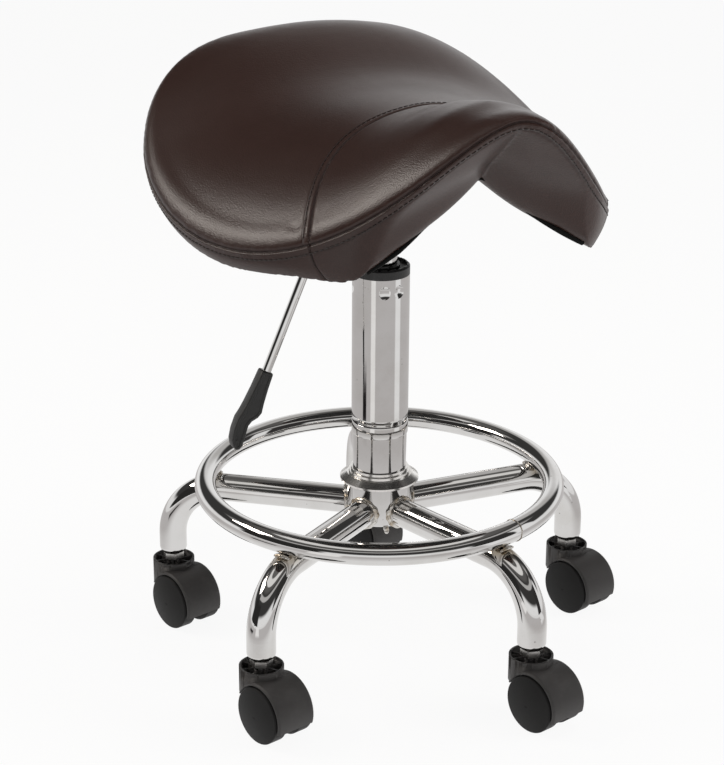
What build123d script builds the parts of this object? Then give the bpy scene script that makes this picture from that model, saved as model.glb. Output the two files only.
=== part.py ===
from build123d import *
import math
import os

os.makedirs("parts", exist_ok=True)

# Saddle stool on a gas lift, with a five-leg tube base, a foot ring and twin-wheel casters.
# Millimetres, +Z up. The origin is on the floor under the column, and the seat faces -Y.

# Clearances
running_gap = 0.05
seat_gap = 0.05
loose_gap = 0.3
weld_gap = 0.2

# Caster wheels and axles
wheel_radius = 25.0
wheel_width = 15.0
wheel_dome = 2.6
wheel_edge = 1.5
wheel_rim = 4.0
wheel_disc = 2.4
wheel_hub_radius = 7.0
wheel_spacing = 11.2
axle_radius = 3.0
axle_end_gap = 0.4

# Caster hoods and stems
caster_trail = 18.0
caster_heading = 16.0
wheel_room = 1.2
hood_wall = 2.3
hood_width = 38.0
hood_edge_round = 2.5
hood_web = 10.0
hood_web_drop = 8.0
hood_skirt_height = 9.5
neck_foot_height = 36.0
cup_radius = 19.0
cup_wall = 1.8
cup_rim_height = 59.0
cup_depth = 5.5
cup_rib_count = 8
cup_rib_width = 1.4
cup_rib_drop = 1.6
stem_boss_radius = 7.0
stem_radius = 4.0
stem_pin_length = 19.0
stem_thread_radius = 5.0
collar_height = 6.0
collar_across_flats = 17.0

# Base legs and foot ring
leg_count = 5
first_leg_angle = 16.0
caster_circle_radius = 194.0
leg_radius = 12.5
leg_wall = 1.5
leg_bend_radius = 50.0
leg_axis_height = 134.2
leg_end_round = 6.0
leg_plug_height = 12.0
leg_weld_depth = 6.0
ring_radius = 155.0
ring_tube_radius = 9.5
ring_tube_wall = 1.5
weld_radius = 3.4
weld_length = 14.0
weld_reach = 7.0

# Hub and standpipe
hub_radius = 29.5
hub_bottom = 122.0
hub_height = 37.0
hub_chamfer = 2.0
flange_radius = 35.0
flange_edge = 1.8
flange_rise = 4.0
collar_ring_height = 3.0
collar_ring_step = 1.8
column_radius = 25.0
column_wall = 2.0
column_top = 350.0
step_height = 219.0
step_round = 3.0
step_depth = 0.7
taper_length_drop = 1.7
dent_radius = 8.0
dent_depth = 1.3
dent_drop = 12.0
dent_pair_angle = 32.0
dent_pairs = 3
sleeve_length = 100.0
cap_height = 8.6
cap_round = 1.5
cap_recess_depth = 3.0
cap_rim = 2.6
cap_lip = 2.4
notch_count = 18
notch_width = 2.2
notch_depth = 1.6

# Gas lift
rod_radius = 5.0
rod_neck_radius = 4.0
rod_tail = 8.0
end_plate_thickness = 5.0
clip_thickness = 1.6
clip_radius = 8.5
clip_opening = 5.0
race_radius = 13.0
race_thickness = 2.0
ball_radius = 2.5
ball_circle_radius = 9.0
ball_count = 8
bump_height = 12.0
bump_radius = 11.0
cylinder_radius = 14.0
cylinder_wall = 1.5
cylinder_head = 10.0
cylinder_taper_drop = 0.6
rod_guide_height = 12.0
piston_height = 12.0
piston_clearance_above = 6.0
button_radius = 4.0
button_stand = 7.7

# Seat mechanism
socket_radius = 19.0
socket_height = 38.0
socket_lift = 25.4
plate_thickness = 2.5
well_depth = 30.0
well_width = 62.0
well_length = 62.0
well_corner = 8.0
flange_width = 120.0
flange_length = 150.0
flange_corner = 14.0
bolt_spacing_x = 76.0
bolt_spacing_y = 100.0
bolt_radius = 3.0
bolt_head_radius = 5.5
bolt_head_height = 4.0
tee_nut_radius = 4.2
tee_nut_height = 6.0
tee_nut_flange_radius = 8.5
tee_nut_flange = 1.3
tee_nut_floor = 2.0
screw_spacing_x = 40.0
screw_spacing_y = 120.0
screw_radius = 2.0
screw_head_radius = 4.2
screw_head_height = 2.4
screw_bite = 8.0

# Release lever
lever_radius = 4.0
lever_pivot_offset = 20.0
lever_bend_offset = 37.8
lever_bend_radius = 14.0
lever_tip = 3.0
lever_lean = 23.4
lever_eye_radius = 6.5
lever_eye_width = 10.0
pivot_pin_radius = 2.5
bracket_wall = 2.0
bracket_rear = 27.5
bracket_front = 14.2
bracket_corner = 5.0
lever_slot_width = 10.0
lever_slot_below = 7.0
lever_slot_above = 9.0
grip_start = 175.0
grip_length = 69.0
grip_width = 14.6
grip_thickness = 12.0
grip_round = 2.6
grip_bump = 2.4
grip_notch = 6.0
grip_step = 40.0
grip_bore_depth = 38.0

# Saddle: the perimeter seam as a harmonic curve, then the crown, side band, shell and channels
seat_front_reach = 237.0
seat_rear_reach = 174.0
seat_half_width = 193.0
nose_narrowing = 27.5
front_fullness = 18.0
rear_fullness = 13.5
side_fullness = 17.0
seam_front_height = 535.0
seam_rear_height = 529.0
seam_side_height = 431.0
flank_shift = 24.4
pommel_height = 543.0
waist_height = 517.0
dish_height = 512.0
cantle_height = 546.0
pommel_reach = 200.0
waist_reach = 100.0
dish_reach = -30.0
cantle_reach = -152.0
crown_side = 17.6
crown_change = 10.0
crown_fall = 1.86
crown_squareness = 2.4
front_roll = 24.0
rear_roll = 72.0
side_band = 17.5
corner_band = 38.5
nose_band = 2.0
band_change_reach = 80.0
chin_reach = 171.0
chin_falloff = 4.0
chin_clearance = 3.0
band_bulge = 0.07
draw_in_sides = 8.8
draw_in_corner = 13.5
draw_in_nose = 2.0
seam_groove_depth = 1.8
seam_groove_half = 1.5
cross_seam_angle = 58.0
cross_seam_depth = 1.8
cross_seam_width = 3.0
underside_height = 477.0
underside_rear_rise = 22.0
arch_fullness_rear = 2.0
arch_fullness_front = 0.82
arch_change_length = 120.0
shell_thickness = 13.0
shell_inset = 12.0
saddle_rear_stations = 12
saddle_nose_stations = 7
saddle_rear_angle = 154.0
saddle_chin_angle = 46.0
saddle_front_angle = 9.0
shell_stations = 9
shell_rear_angle = 128.0
shell_front_angle = 53.0

# Heights and radii that follow from the sizes above
collar_bottom = cup_rim_height + loose_gap
leg_end_height = collar_bottom + collar_height
hub_top = hub_bottom + hub_height
flange_top = hub_top + flange_edge + flange_rise + 2 * collar_ring_height
bore_radius = column_radius - column_wall
cap_top = column_top + cap_height
race_bottom = hub_bottom + end_plate_thickness
ball_bottom = race_bottom + race_thickness + running_gap
upper_race_bottom = ball_bottom + 2 * ball_radius + running_gap
bump_bottom = upper_race_bottom + race_thickness
cylinder_bottom = bump_bottom + bump_height + loose_gap
socket_bottom = cap_top + socket_lift
well_floor = socket_bottom + socket_height
well_top = well_floor + well_depth
cylinder_top = well_floor + plate_thickness + 1.5
piston_top = cylinder_top - cylinder_head - piston_clearance_above
button_top = cylinder_top + button_stand
lever_height = button_top + loose_gap + lever_radius
hood_radius = wheel_radius + wheel_room + hood_wall
wheel_inner = wheel_spacing / 2
wheel_outer = wheel_inner + wheel_width
chin_rise = seam_front_height - underside_height - chin_clearance

parts = {}


def toward(azimuth):
    """Turn from +X to a bearing counted from the seat's front, -Y, towards +X."""
    return Rot(0, 0, azimuth - 90)


def leg_bearing(index):
    return first_leg_angle + index * 360 / leg_count


def turned(*outline):
    """Revolve a closed outline of (radius, height) points about the column axis."""
    return revolve(make_face(Plane.XZ * Polyline(*outline, close=True)), Axis.Z)


def turned_edges(*edges):
    """Revolve a closed outline of lines and arcs, drawn as (radius, height)."""
    return revolve(make_face([Plane.XZ * edge for edge in edges]), Axis.Z)


def ring_of(inner, outer, bottom, height):
    """A plain washer or sleeve."""
    return turned((inner, bottom), (outer, bottom), (outer, bottom + height), (inner, bottom + height))


def cross_cylinder(radius, x, z, y_low, y_high):
    """A cylinder that lies along Y."""
    middle = Pos(x, (y_low + y_high) / 2, z) * Rot(90, 0, 0)
    return middle * Cylinder(radius, y_high - y_low)


def standpipe_taper(height):
    """Radius of the standpipe's tapered foot, which wedges in the hub."""
    share = (step_height - height) / (step_height - hub_bottom)
    return column_radius - step_depth - taper_length_drop * share


def cylinder_taper(height):
    """Radius of the gas cylinder's tapered top, which wedges in the socket."""
    share = (height - socket_bottom) / (cylinder_top - socket_bottom)
    return cylinder_radius - cylinder_taper_drop * max(0.0, share)


# Legs: a tube from the hub, bent down, with a rounded end that takes the caster stem
round_top = leg_end_height + leg_end_round
leg_path = Plane.XZ * FilletPolyline(
    (hub_radius - leg_weld_depth, leg_axis_height),
    (caster_circle_radius, leg_axis_height),
    (caster_circle_radius, round_top),
    radius=leg_bend_radius,
)
leg_section = Plane(origin=leg_path @ 0, z_dir=leg_path % 0) * (
    Circle(leg_radius) - Circle(leg_radius - leg_wall)
)
round_centre = (leg_radius - leg_end_round, round_top)
stem_hole = stem_thread_radius + seat_gap
leg_end = turned_edges(
    Line((leg_radius - leg_wall, round_top), (leg_radius, round_top)),
    CenterArc(round_centre, leg_end_round, 0, -90),
    Line((round_centre[0], leg_end_height), (stem_hole, leg_end_height)),
    Line((stem_hole, leg_end_height), (stem_hole, leg_end_height + leg_wall)),
    Line((stem_hole, leg_end_height + leg_wall), (round_centre[0], leg_end_height + leg_wall)),
    CenterArc(round_centre, leg_end_round - leg_wall, -90, 90),
)
leg_tube = sweep(leg_section, leg_path) + Pos(caster_circle_radius, 0, 0) * leg_end
leg_tube -= Pos(0, 0, leg_axis_height) * Cylinder(hub_radius + seat_gap, 4 * leg_radius)
solid_section = Plane(origin=leg_path @ 0, z_dir=leg_path % 0) * Circle(leg_radius + seat_gap)
leg_envelope = sweep(solid_section, leg_path)
plug = Pos(caster_circle_radius, 0, 0) * ring_of(
    stem_hole, leg_radius - leg_wall - seat_gap, round_top, leg_plug_height
)
for k in range(leg_count):
    parts[f"leg_{k + 1}"] = toward(leg_bearing(k)) * leg_tube
parts["leg_plugs"] = Compound([toward(leg_bearing(k)) * plug for k in range(leg_count)])

# Foot ring: a closed tube ring that lies on the legs where their bends begin
bend_start = caster_circle_radius - leg_bend_radius
bend_angle = math.asin(max(0.0, ring_radius - bend_start) / leg_bend_radius)
leg_top_at_ring = leg_axis_height - leg_bend_radius * (1 - math.cos(bend_angle))
leg_top_at_ring += leg_radius / math.cos(bend_angle)
ring_height = leg_top_at_ring + ring_tube_radius + weld_gap
ring_at_height = Pos(0, 0, ring_height)
ring_tube = ring_at_height * Torus(ring_radius, ring_tube_radius)
ring_bore = ring_at_height * Torus(ring_radius, ring_tube_radius - ring_tube_wall)
ring_envelope = ring_at_height * Torus(ring_radius, ring_tube_radius + seat_gap)
parts["foot_ring"] = ring_tube - ring_bore

# Weld beads in the two grooves beside each crossing of ring and leg
bead = Rot(90, 0, 0) * Cylinder(weld_radius, weld_length)
beads = []
for side in (-1, 1):
    groove = Pos(ring_radius + side * weld_reach, 0, leg_top_at_ring)
    beads.append(groove * bead - ring_envelope - leg_envelope)
parts["ring_welds"] = Compound(
    [toward(leg_bearing(k)) * solid for k in range(leg_count) for weld in beads for solid in weld.solids()]
)

# Caster stems: a hex collar under the leg, a thread up into its plug and a pin down into the hood
stem_pin_bottom = collar_bottom - stem_pin_length
collar_circumradius = collar_across_flats / math.sqrt(3)
stem = extrude(Pos(0, 0, collar_bottom) * RegularPolygon(collar_circumradius, 6), collar_height)
stem += ring_of(0, stem_thread_radius, leg_end_height, leg_end_round + leg_plug_height)
stem += ring_of(0, stem_radius, stem_pin_bottom, stem_pin_length)
stem = Pos(caster_circle_radius, 0, 0) * stem
parts["caster_stems"] = Compound([toward(leg_bearing(k)) * stem for k in range(leg_count)])

# Hub, with a tapered bore for the standpipe, and the coned flange with collar rings on its top
parts["hub"] = turned(
    (standpipe_taper(hub_bottom) + seat_gap, hub_bottom),
    (hub_radius - hub_chamfer, hub_bottom),
    (hub_radius, hub_bottom + hub_chamfer),
    (hub_radius, hub_top),
    (standpipe_taper(hub_top) + seat_gap, hub_top),
)
collar_radius = standpipe_taper(flange_top) + 2 * collar_ring_step
cone_top = hub_top + flange_edge + flange_rise
parts["hub_flange"] = turned(
    (standpipe_taper(hub_top) + seat_gap, hub_top),
    (flange_radius, hub_top),
    (flange_radius, hub_top + flange_edge),
    (collar_radius + collar_ring_step, cone_top),
    (collar_radius, cone_top),
    (collar_radius, cone_top + collar_ring_height),
    (collar_radius - collar_ring_step, cone_top + collar_ring_height),
    (collar_radius - collar_ring_step, flange_top),
    (standpipe_taper(flange_top) + seat_gap, flange_top),
)

# Standpipe: the lift's outer tube, stepped to a tapered foot, with staking dents near its top
foot_bottom_radius = standpipe_taper(hub_bottom)
foot_top_radius = standpipe_taper(step_height)
lip_angle = math.degrees(math.acos(1 - step_depth / step_round))
lip_top = step_height + step_round * math.sin(math.radians(lip_angle))
standpipe = turned_edges(
    Line((foot_bottom_radius - column_wall, hub_bottom), (foot_bottom_radius, hub_bottom)),
    Line((foot_bottom_radius, hub_bottom), (foot_top_radius, step_height)),
    CenterArc((column_radius - step_round, lip_top), step_round, -lip_angle, lip_angle),
    Line((column_radius, lip_top), (column_radius, column_top)),
    Line((column_radius, column_top), (bore_radius, column_top)),
    Line((bore_radius, column_top), (bore_radius, lip_top)),
    Line((bore_radius, lip_top), (foot_top_radius - column_wall, step_height)),
    Line((foot_top_radius - column_wall, step_height), (foot_bottom_radius - column_wall, hub_bottom)),
)
dent_place = Pos(column_radius + dent_radius - dent_depth, 0, column_top - dent_drop)
for pair in range(dent_pairs):
    for side in (-0.5, 0.5):
        bearing = pair * 360 / dent_pairs + side * dent_pair_angle
        standpipe -= toward(bearing) * dent_place * Sphere(dent_radius)
parts["standpipe"] = standpipe

# Guide sleeve: a black bush in the standpipe with a capped, notched rim
sleeve_bore = cylinder_radius + running_gap
recess_outer = column_radius - cap_rim
recess_inner = cylinder_radius + cap_lip
sleeve = turned(
    (sleeve_bore, column_top - sleeve_length),
    (bore_radius - seat_gap, column_top - sleeve_length),
    (bore_radius - seat_gap, column_top),
    (column_radius, column_top),
    (column_radius, cap_top - cap_round),
    (column_radius - cap_round, cap_top),
    (recess_outer, cap_top),
    (recess_outer, cap_top - cap_recess_depth),
    (recess_inner, cap_top - cap_recess_depth),
    (recess_inner, cap_top),
    (sleeve_bore, cap_top),
)
notch = Pos(recess_outer, 0, cap_top - cap_recess_depth / 2) * Box(
    2 * notch_depth, notch_width, cap_recess_depth
)
for k in range(notch_count):
    sleeve -= Rot(0, 0, k * 360 / notch_count) * notch
parts["guide_sleeve"] = sleeve

# Foot of the lift: end plate, thrust bearing, bump stop and the rod's clip
plate_radius = foot_bottom_radius - column_wall - seat_gap
rod_hole = rod_radius + running_gap
parts["end_plate"] = ring_of(rod_hole, plate_radius, hub_bottom, end_plate_thickness)
parts["bearing_lower_race"] = ring_of(rod_hole, race_radius, race_bottom, race_thickness)
ball = Pos(ball_circle_radius, 0, ball_bottom + ball_radius) * Sphere(ball_radius)
parts["bearing_balls"] = Compound([Rot(0, 0, k * 360 / ball_count) * ball for k in range(ball_count)])
parts["bearing_upper_race"] = ring_of(rod_hole, race_radius, upper_race_bottom, race_thickness)
parts["bump_stop"] = ring_of(rod_hole, bump_radius, bump_bottom, bump_height)
clip_bottom = hub_bottom - loose_gap - clip_thickness
clip_groove = clip_thickness + 2 * running_gap
piston_bottom = piston_top - piston_height
parts["piston_rod"] = turned(
    (0, hub_bottom - rod_tail),
    (rod_radius, hub_bottom - rod_tail),
    (rod_radius, clip_bottom - running_gap),
    (rod_neck_radius, clip_bottom - running_gap),
    (rod_neck_radius, clip_bottom - running_gap + clip_groove),
    (rod_radius, clip_bottom - running_gap + clip_groove),
    (rod_radius, piston_bottom),
    (rod_neck_radius, piston_bottom),
    (rod_neck_radius, piston_top),
    (0, piston_top),
)
clip_slot = Pos(clip_radius, 0, clip_bottom + clip_thickness / 2) * Box(
    2 * clip_radius, clip_opening, 2 * clip_thickness
)
clip_ring = ring_of(rod_neck_radius + seat_gap, clip_radius, clip_bottom, clip_thickness)
parts["retaining_clip"] = clip_ring - clip_slot
cylinder_bore = cylinder_radius - cylinder_wall
parts["piston"] = ring_of(
    rod_neck_radius + seat_gap, cylinder_bore - running_gap, piston_bottom, piston_height
)

# Gas cylinder, its rod guide and the release button in its head
head_bottom = cylinder_top - cylinder_head
button_hole = button_radius + running_gap
parts["gas_cylinder"] = turned(
    (cylinder_bore, cylinder_bottom),
    (cylinder_radius, cylinder_bottom),
    (cylinder_radius, socket_bottom),
    (cylinder_taper(cylinder_top), cylinder_top),
    (button_hole, cylinder_top),
    (button_hole, head_bottom),
    (cylinder_bore, head_bottom),
)
parts["rod_guide"] = ring_of(
    rod_hole, cylinder_bore - seat_gap, cylinder_bottom + loose_gap, rod_guide_height
)
button_shank_top = button_top - button_radius
parts["release_button"] = turned_edges(
    Line((0, head_bottom + 2), (button_radius, head_bottom + 2)),
    Line((button_radius, head_bottom + 2), (button_radius, button_shank_top)),
    CenterArc((0, button_shank_top), button_radius, 0, 90),
    Line((0, button_top), (0, head_bottom + 2)),
)

# Taper socket under the mounting plate
parts["taper_socket"] = turned(
    (cylinder_taper(socket_bottom) + seat_gap, socket_bottom),
    (socket_radius, socket_bottom),
    (socket_radius, well_floor),
    (cylinder_taper(well_floor) + seat_gap, well_floor),
)

# Mounting plate: a pressed tray with a well for the lever and a flange under the mounting block
flange_bottom = well_top - plate_thickness
well = extrude(Pos(0, 0, well_floor) * RectangleRounded(well_width, well_length, well_corner), well_depth)
flange = extrude(
    Pos(0, 0, flange_bottom) * RectangleRounded(flange_width, flange_length, flange_corner),
    plate_thickness,
)
well_room = extrude(
    Pos(0, 0, well_floor + plate_thickness)
    * RectangleRounded(
        well_width - 2 * plate_thickness,
        well_length - 2 * plate_thickness,
        well_corner - plate_thickness,
    ),
    well_depth,
)
lever_slot = Pos(-well_width / 2, 0, lever_height + (lever_slot_above - lever_slot_below) / 2) * Box(
    4 * plate_thickness, lever_slot_width, lever_slot_above + lever_slot_below
)
bolt_places = [
    Pos(x * bolt_spacing_x / 2, y * bolt_spacing_y / 2, 0) for x in (-1, 1) for y in (-1, 1)
]
cylinder_hole = ring_of(0, cylinder_taper(well_floor) + loose_gap, well_floor, 2 * plate_thickness)
mount_plate = well + flange - well_room - lever_slot - cylinder_hole
bolt_hole_radius = bolt_radius + loose_gap
for place in bolt_places:
    mount_plate -= place * ring_of(0, bolt_hole_radius, flange_bottom, plate_thickness)
parts["mount_plate"] = mount_plate

# Lever bracket: two ears on the well's floor that hold the pivot pin
bracket_floor = well_floor + plate_thickness
ear_inner = lever_eye_width / 2 + loose_gap
ear_outer = ear_inner + bracket_wall
bracket_length = bracket_rear - bracket_front
ear_top = lever_height + lever_eye_radius
ear_outline = Plane.XZ * (
    Pos(-(bracket_rear + bracket_front) / 2, (bracket_floor + ear_top) / 2)
    * RectangleRounded(bracket_length, ear_top - bracket_floor, bracket_corner)
)
ears = extrude(ear_outline, ear_outer, both=True)
foot_room = Pos(-(bracket_rear + bracket_front) / 2, 0, bracket_floor + bracket_corner / 2) * Box(
    bracket_length, 2 * ear_outer, bracket_corner
)
ear_gap_height = ear_top - bracket_floor - bracket_wall
ear_gap = Pos(0, 0, bracket_floor + bracket_wall + ear_gap_height / 2) * Box(
    4 * bracket_rear, 2 * ear_inner, ear_gap_height
)
pin_room = cross_cylinder(
    pivot_pin_radius + running_gap, -lever_pivot_offset, lever_height, -2 * ear_outer, 2 * ear_outer
)
parts["lever_bracket"] = ears + foot_room - ear_gap - pin_room
pin_reach = ear_outer + bracket_wall / 2
parts["lever_pivot_pin"] = cross_cylinder(
    pivot_pin_radius, -lever_pivot_offset, lever_height, -pin_reach, pin_reach
)

# Release lever: a bent rod with a pivot eye, and a grip with a thumb step on its end
lean = math.radians(lever_lean)
lever_reach = grip_start + grip_bore_depth - loose_gap
lever_foot = (
    -lever_bend_offset - lever_reach * math.sin(lean),
    lever_height - lever_reach * math.cos(lean),
)
lever_path = Plane.XZ * FilletPolyline(
    (lever_tip, lever_height),
    (-lever_bend_offset, lever_height),
    lever_foot,
    radius=lever_bend_radius,
)
lever_rod = sweep(Plane(origin=lever_path @ 0, z_dir=lever_path % 0) * Circle(lever_radius), lever_path)
lever_rod += cross_cylinder(
    lever_eye_radius, -lever_pivot_offset, lever_height, -lever_eye_width / 2, lever_eye_width / 2
)
parts["lever_rod"] = lever_rod - pin_room
grip_plane = Plane(
    origin=(-lever_bend_offset, 0, lever_height),
    x_dir=(-math.cos(lean), 0, math.sin(lean)),
    z_dir=(0, -1, 0),
)
half_grip = grip_width / 2
grip_end = grip_start + grip_length
paddle_inner = half_grip - grip_notch
paddle_outer = half_grip + grip_bump
paddle_middle = (paddle_outer - paddle_inner) / 2
paddle_half = (paddle_outer + paddle_inner) / 2
tip_start = grip_end - paddle_half
grip_outline = [
    Line((-half_grip, grip_start), (half_grip, grip_start)),
    Line((half_grip, grip_start), (half_grip, grip_start + 0.8 * grip_step)),
    Line((half_grip, grip_start + 0.8 * grip_step), (paddle_outer, grip_start + grip_step)),
    Line((paddle_outer, grip_start + grip_step), (paddle_outer, tip_start)),
    ThreePointArc((paddle_outer, tip_start), (paddle_middle, grip_end), (-paddle_inner, tip_start)),
    Line((-paddle_inner, tip_start), (-paddle_inner, grip_start + grip_step + grip_notch)),
    Line((-paddle_inner, grip_start + grip_step + grip_notch), (-half_grip, grip_start + grip_step)),
    Line((-half_grip, grip_start + grip_step), (-half_grip, grip_start)),
]
grip_face = make_face([grip_plane * edge for edge in grip_outline])
grip = extrude(grip_face, grip_thickness / 2, both=True)
grip = fillet(grip.edges(), grip_round)
rod_axis = grip_plane * Pos(0, grip_start) * Rot(-90, 0, 0)
grip -= rod_axis * Pos(0, 0, grip_bore_depth / 2) * Cylinder(lever_radius + seat_gap, grip_bore_depth)
parts["lever_grip"] = grip


# Saddle seam: distance forward of the column, half width and height at a bearing from the front
def seam(angle):
    a = math.radians(angle)
    middle = (seat_front_reach - seat_rear_reach) / 2
    half_length = (seat_front_reach + seat_rear_reach) / 2
    fullness = front_fullness + (rear_fullness - front_fullness) * (1 - math.cos(a)) / 2
    forward = middle + nose_narrowing * (math.cos(2 * a) - 1)
    forward += (half_length + fullness) * math.cos(a) - fullness * math.cos(3 * a)
    width = (seat_half_width - side_fullness) * math.sin(a) - side_fullness * math.sin(3 * a)
    end_mean = (seam_front_height + seam_rear_height) / 2
    tilt = (seam_front_height - seam_rear_height) / 2 - flank_shift
    height = (end_mean + seam_side_height) / 2 + tilt * math.cos(a)
    height += (end_mean - seam_side_height) / 2 * math.cos(2 * a) + flank_shift * math.cos(3 * a)
    return forward, width, height


def ease(share):
    t = min(1.0, max(0.0, share))
    return t * t * (3 - 2 * t)


def ridge(forward):
    """Height of the seat's top along its middle: cantle, dish, waist and pommel."""
    line = [
        (cantle_reach, cantle_height),
        (dish_reach, dish_height),
        (waist_reach, waist_height),
        (pommel_reach, pommel_height),
    ]
    height = cantle_height
    for (start, low), (end, high) in zip(line, line[1:]):
        height += (high - low) * ease((forward - start) / (end - start))
    return height


def station(angle):
    """The sizes of one upright slice of the saddle."""
    forward, width, height = seam(angle)
    to_front = seat_front_reach - forward
    to_rear = seat_rear_reach + forward
    rolled = min(1.0, to_front / front_roll, to_rear / rear_roll)
    rolled = math.sqrt(1 - (1 - max(0.0, rolled)) ** 2)
    end_height = seam_front_height if to_front < to_rear else seam_rear_height
    top = end_height + rolled * (ridge(forward) - end_height)
    crown = rolled * (crown_side - crown_change * math.cos(math.radians(angle)))
    rear_share = max(0.0, -forward / seat_rear_reach)
    arch_top = underside_height + underside_rear_rise * rear_share**2
    if forward < chin_reach:
        share = max(0.0, forward - band_change_reach) / (chin_reach - band_change_reach)
        band = side_band + (corner_band - side_band) * share**2
        draw_in = draw_in_sides + (draw_in_corner - draw_in_sides) * share**2
    else:
        share = (forward - chin_reach) / (seat_front_reach - chin_reach)
        band = nose_band + (corner_band - nose_band) * (1 - share) ** chin_falloff
        draw_in = draw_in_nose + (draw_in_corner - draw_in_nose) * (1 - share)
        arch_top += chin_rise * share
    roundness = ease((chin_reach - forward) / arch_change_length)
    return {
        "plane": Plane(origin=(0, -forward, 0), x_dir=(1, 0, 0), z_dir=(0, -1, 0)),
        "width": width,
        "height": height,
        "top": top,
        "crown": crown,
        "band": band,
        "low_width": width - draw_in,
        "low_height": height - band,
        "arch_top": arch_top,
        "fullness": arch_fullness_front + (arch_fullness_rear - arch_fullness_front) * roundness,
    }


def top_point(cut, share):
    """A point of a slice's padded top, from its middle, 0, to the seam, 1."""
    middle = cut["top"] - cut["crown"]
    lip = cut["height"] + seam_groove_half
    height = middle + (lip - middle) * share**crown_fall
    height += cut["crown"] * (1 - share**crown_squareness) ** (1 / crown_squareness)
    return cut["width"] * share, height


def slice_half(cut):
    """Edges of a slice's right side: crown, shoulder, seam groove and drawn-in band."""
    lip = (cut["width"], cut["height"] + seam_groove_half)
    groove = (cut["width"] - seam_groove_depth, cut["height"])
    low_lip = (cut["width"] - seam_groove_depth / 6, cut["height"] - seam_groove_half)
    foot = (cut["low_width"], cut["low_height"])
    bulge = band_bulge * cut["band"]
    belly = ((low_lip[0] + foot[0]) / 2 + bulge, (low_lip[1] + foot[1]) / 2 - bulge / 2)
    return [
        ThreePointArc(top_point(cut, 0), top_point(cut, 0.3), top_point(cut, 0.55)),
        ThreePointArc(top_point(cut, 0.55), top_point(cut, 0.78), top_point(cut, 0.92)),
        ThreePointArc(top_point(cut, 0.92), top_point(cut, 0.98), lip),
        Line(lip, groove),
        Line(groove, low_lip),
        ThreePointArc(low_lip, belly, foot),
    ]


def arch_point(cut, share, lift=0.0):
    """A point of a slice's underside, from its middle, 0, to the band's foot, 1."""
    sag = cut["arch_top"] - cut["low_height"]
    return cut["low_width"] * share, cut["arch_top"] - sag * share ** cut["fullness"] + lift


def arch_half(cut, end, lift=0.0):
    """Edges of a slice's underside from its middle to a share of its half width."""
    marks = [arch_point(cut, end * share, lift) for share in (0, 0.2, 0.45, 0.72, 1)]
    return [ThreePointArc(*marks[:3]), ThreePointArc(*marks[2:])]


def both_sides(cut, edges):
    """Mirror a slice's right side and set the whole outline at its place."""
    return make_face([cut["plane"] * edge for edge in edges + [mirror(edge, Plane.YZ) for edge in edges]])


def cushion_slice(angle):
    cut = station(angle)
    return both_sides(cut, slice_half(cut) + arch_half(cut, 1))


def arch_slice(angle, low, high, inset):
    """A band over the saddle's underside, between two heights above it."""
    cut = station(angle)
    end = 1 - inset / cut["low_width"]
    side = Line(arch_point(cut, end, low), arch_point(cut, end, high))
    return both_sides(cut, arch_half(cut, end, low) + [side] + arch_half(cut, end, high))


def steps(first, last, count):
    return [first + (last - first) * k / (count - 1) for k in range(count)]


def arch_band(low, high, inset):
    """Loft an arch band over the saddle shell's stations."""
    angles = steps(shell_rear_angle, shell_front_angle, shell_stations)
    return loft([arch_slice(angle, low, high, inset) for angle in angles])


def with_end_room(band, room):
    """Lengthen a band a little past its flat ends."""
    faces = band.faces().sort_by(Axis.Y)
    return band + extrude(faces[0], room, dir=(0, -1, 0)) + extrude(faces[-1], room, dir=(0, 1, 0))


# Saddle shell: moulded board that carries the pad, drilled for the block's screws
shell = arch_band(0, shell_thickness, shell_inset)
screw_top = underside_height + screw_bite
screw_places = [
    Pos(x * screw_spacing_x / 2, y * screw_spacing_y / 2, 0) for x in (-1, 1) for y in (-1, 1)
]
for place in screw_places:
    shell -= place * ring_of(0, screw_radius + seat_gap, well_top, screw_top + loose_gap - well_top)
parts["seat_shell"] = shell

# Cushion: crowned pad with a drawn-in band, seam grooves all round and across, hollowed for the shell
slice_angles = steps(saddle_rear_angle, saddle_chin_angle, saddle_rear_stations)
slice_angles += steps(saddle_chin_angle, saddle_front_angle, saddle_nose_stations)[1:]
cushion = loft([cushion_slice(angle) for angle in slice_angles])
shell_room = arch_band(-2 * shell_inset, shell_thickness + 2 * loose_gap, shell_inset - loose_gap)
cushion -= with_end_room(shell_room, loose_gap)
groove_cut = station(cross_seam_angle)
groove_edges = [
    ThreePointArc(*[top_point(groove_cut, share) for share in marks])
    for marks in ((0, 0.3, 0.55), (0.55, 0.78, 0.92))
]
groove_top = groove_cut["top"] + 4 * cross_seam_width
groove_end = top_point(groove_cut, 0.92)
groove_edges.append(Line(groove_end, (groove_end[0], groove_top)))
groove_edges.append(Line((groove_end[0], groove_top), (0, groove_top)))
groove = extrude(both_sides(groove_cut, groove_edges), cross_seam_width / 2, both=True)
parts["seat_cushion"] = cushion - Pos(0, 0, -cross_seam_depth) * groove

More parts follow.
